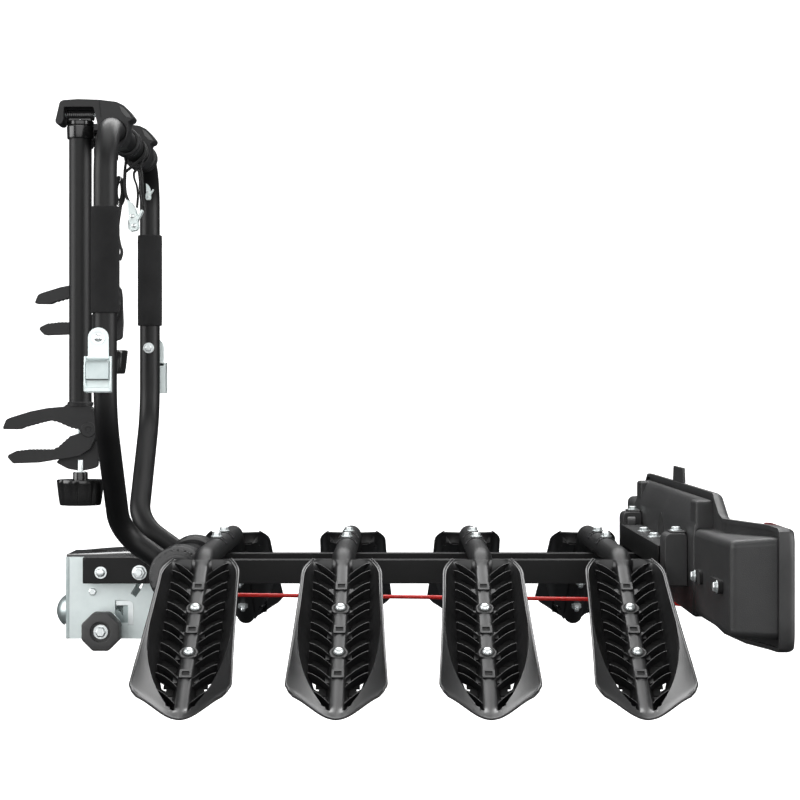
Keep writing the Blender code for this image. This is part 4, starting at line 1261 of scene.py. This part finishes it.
def make_release():
    start, end = Vector(CABLE_START), Vector(CABLE_END)
    path = [start.lerp(end, i / 40) for i in range(41)]
    add("release_cable_sheath", round_tube(path, 0.003, 20, hollow=0.0), RED, "release", ("release_cable",))
    refined("release_handle", RED, 0.0035, segments=4)
    ends = bmesh.new()
    turned("X", (0.0, 0.0249), [(0.13, 0.002), (0.13, 0.0041), (0.142, 0.0041), (0.143, 0.0034)], 24, ends)
    turned("X", (0.0, 0.0156), [(0.901, 0.0034), (0.902, 0.0041), (0.915, 0.0041), (0.915, 0.002)], 24, ends)
    add("release_ferrules", ends, BRIGHT, "release")


# ---------------------------------------------------------------- stage


def make_stage():
    scene = bpy.context.scene
    camera = bpy.data.objects.new("camera", bpy.data.cameras.new("camera"))
    scene.collection.objects.link(camera)
    camera.location = (0.498, -3.195, 0.327)
    camera.rotation_euler = (math.pi / 2, 0.0, 0.0)
    camera.data.lens = 93.75
    camera.data.sensor_width = 36.0
    camera.data.shift_y = -0.00375
    scene.camera = camera
    world = bpy.data.worlds.new("studio")
    world.use_nodes = True
    sky = world.node_tree.nodes["Background"]
    sky.inputs["Color"].default_value = (0.92, 0.95, 1.0, 1.0)
    sky.inputs["Strength"].default_value = 0.05
    scene.world = world
    scene.view_settings.view_transform = "Standard"

    pale = bpy.data.materials.new("pale_floor")
    pale.use_nodes = True
    shader = pale.node_tree.nodes["Principled BSDF"]
    for socket, value in (("Base Color", (0.6, 0.6, 0.6, 1.0)), ("Roughness", 0.9),
                          ("Emission Color", (1.0, 1.0, 1.0, 1.0)), ("Emission Strength", 1.0)):
        shader.inputs[socket].default_value = value
    profile = [(-30.0, -0.8), (2.2, -0.8), (3.0, -0.75), (3.6, -0.5), (4.0, 0.0), (4.2, 1.0), (4.2, 6.0)]
    bm = bmesh.new()
    lines = [[bm.verts.new((x, y, z)) for y, z in profile] for x in (-20.0, 21.0)]
    for i in range(len(profile) - 1):
        bm.faces.new((lines[0][i], lines[1][i], lines[1][i + 1], lines[0][i + 1]))
    mesh = bpy.data.meshes.new("floor")
    bm.to_mesh(mesh)
    bm.free()
    mesh.shade_smooth()
    mesh.materials.append(pale)
    floor = bpy.data.objects.new("floor", mesh)
    scene.collection.objects.link(floor)
    floor.visible_glossy = False
    floor.visible_diffuse = False
    floor.visible_shadow = False
    area_light("front", (0.5, -5.0, 1.3), (0.5, 0.0, 0.25), (6.5, 4.0), 155.0)
    area_light("top", (0.4, -0.3, 3.2), (0.5, 0.0, 0.0), (3.0, 2.0), 55.0)
    area_light("back", (0.5, 2.2, 2.9), (0.5, -0.3, 0.0), (3.6, 1.6), 120.0)
    area_light("left", (-3.4, -1.2, 1.4), (0.5, 0.0, 0.1), (3.2, 3.2), 150.0)
    area_light("right", (4.2, -1.4, 1.2), (0.6, 0.0, 0.1), (3.2, 3.2), 165.0)


def area_light(name, place, target, size, energy):
    light = bpy.data.lights.new(name, "AREA")
    light.shape = "RECTANGLE"
    light.size, light.size_y = size
    light.energy = energy
    obj = bpy.data.objects.new(name, light)
    bpy.context.scene.collection.objects.link(obj)
    obj.location = place
    aim = Vector(target) - Vector(place)
    obj.rotation_euler = aim.to_track_quat("-Z", "Y").to_euler()


make_stage()
make_trays()
make_tubes()
make_rails()
make_rear_beam()
make_board()
make_frame()
for arm_side, (arm_y, arm_lift) in ARMS.items():
    make_arm(arm_side, arm_y, arm_lift)
make_straps()
make_coupling()
make_release()
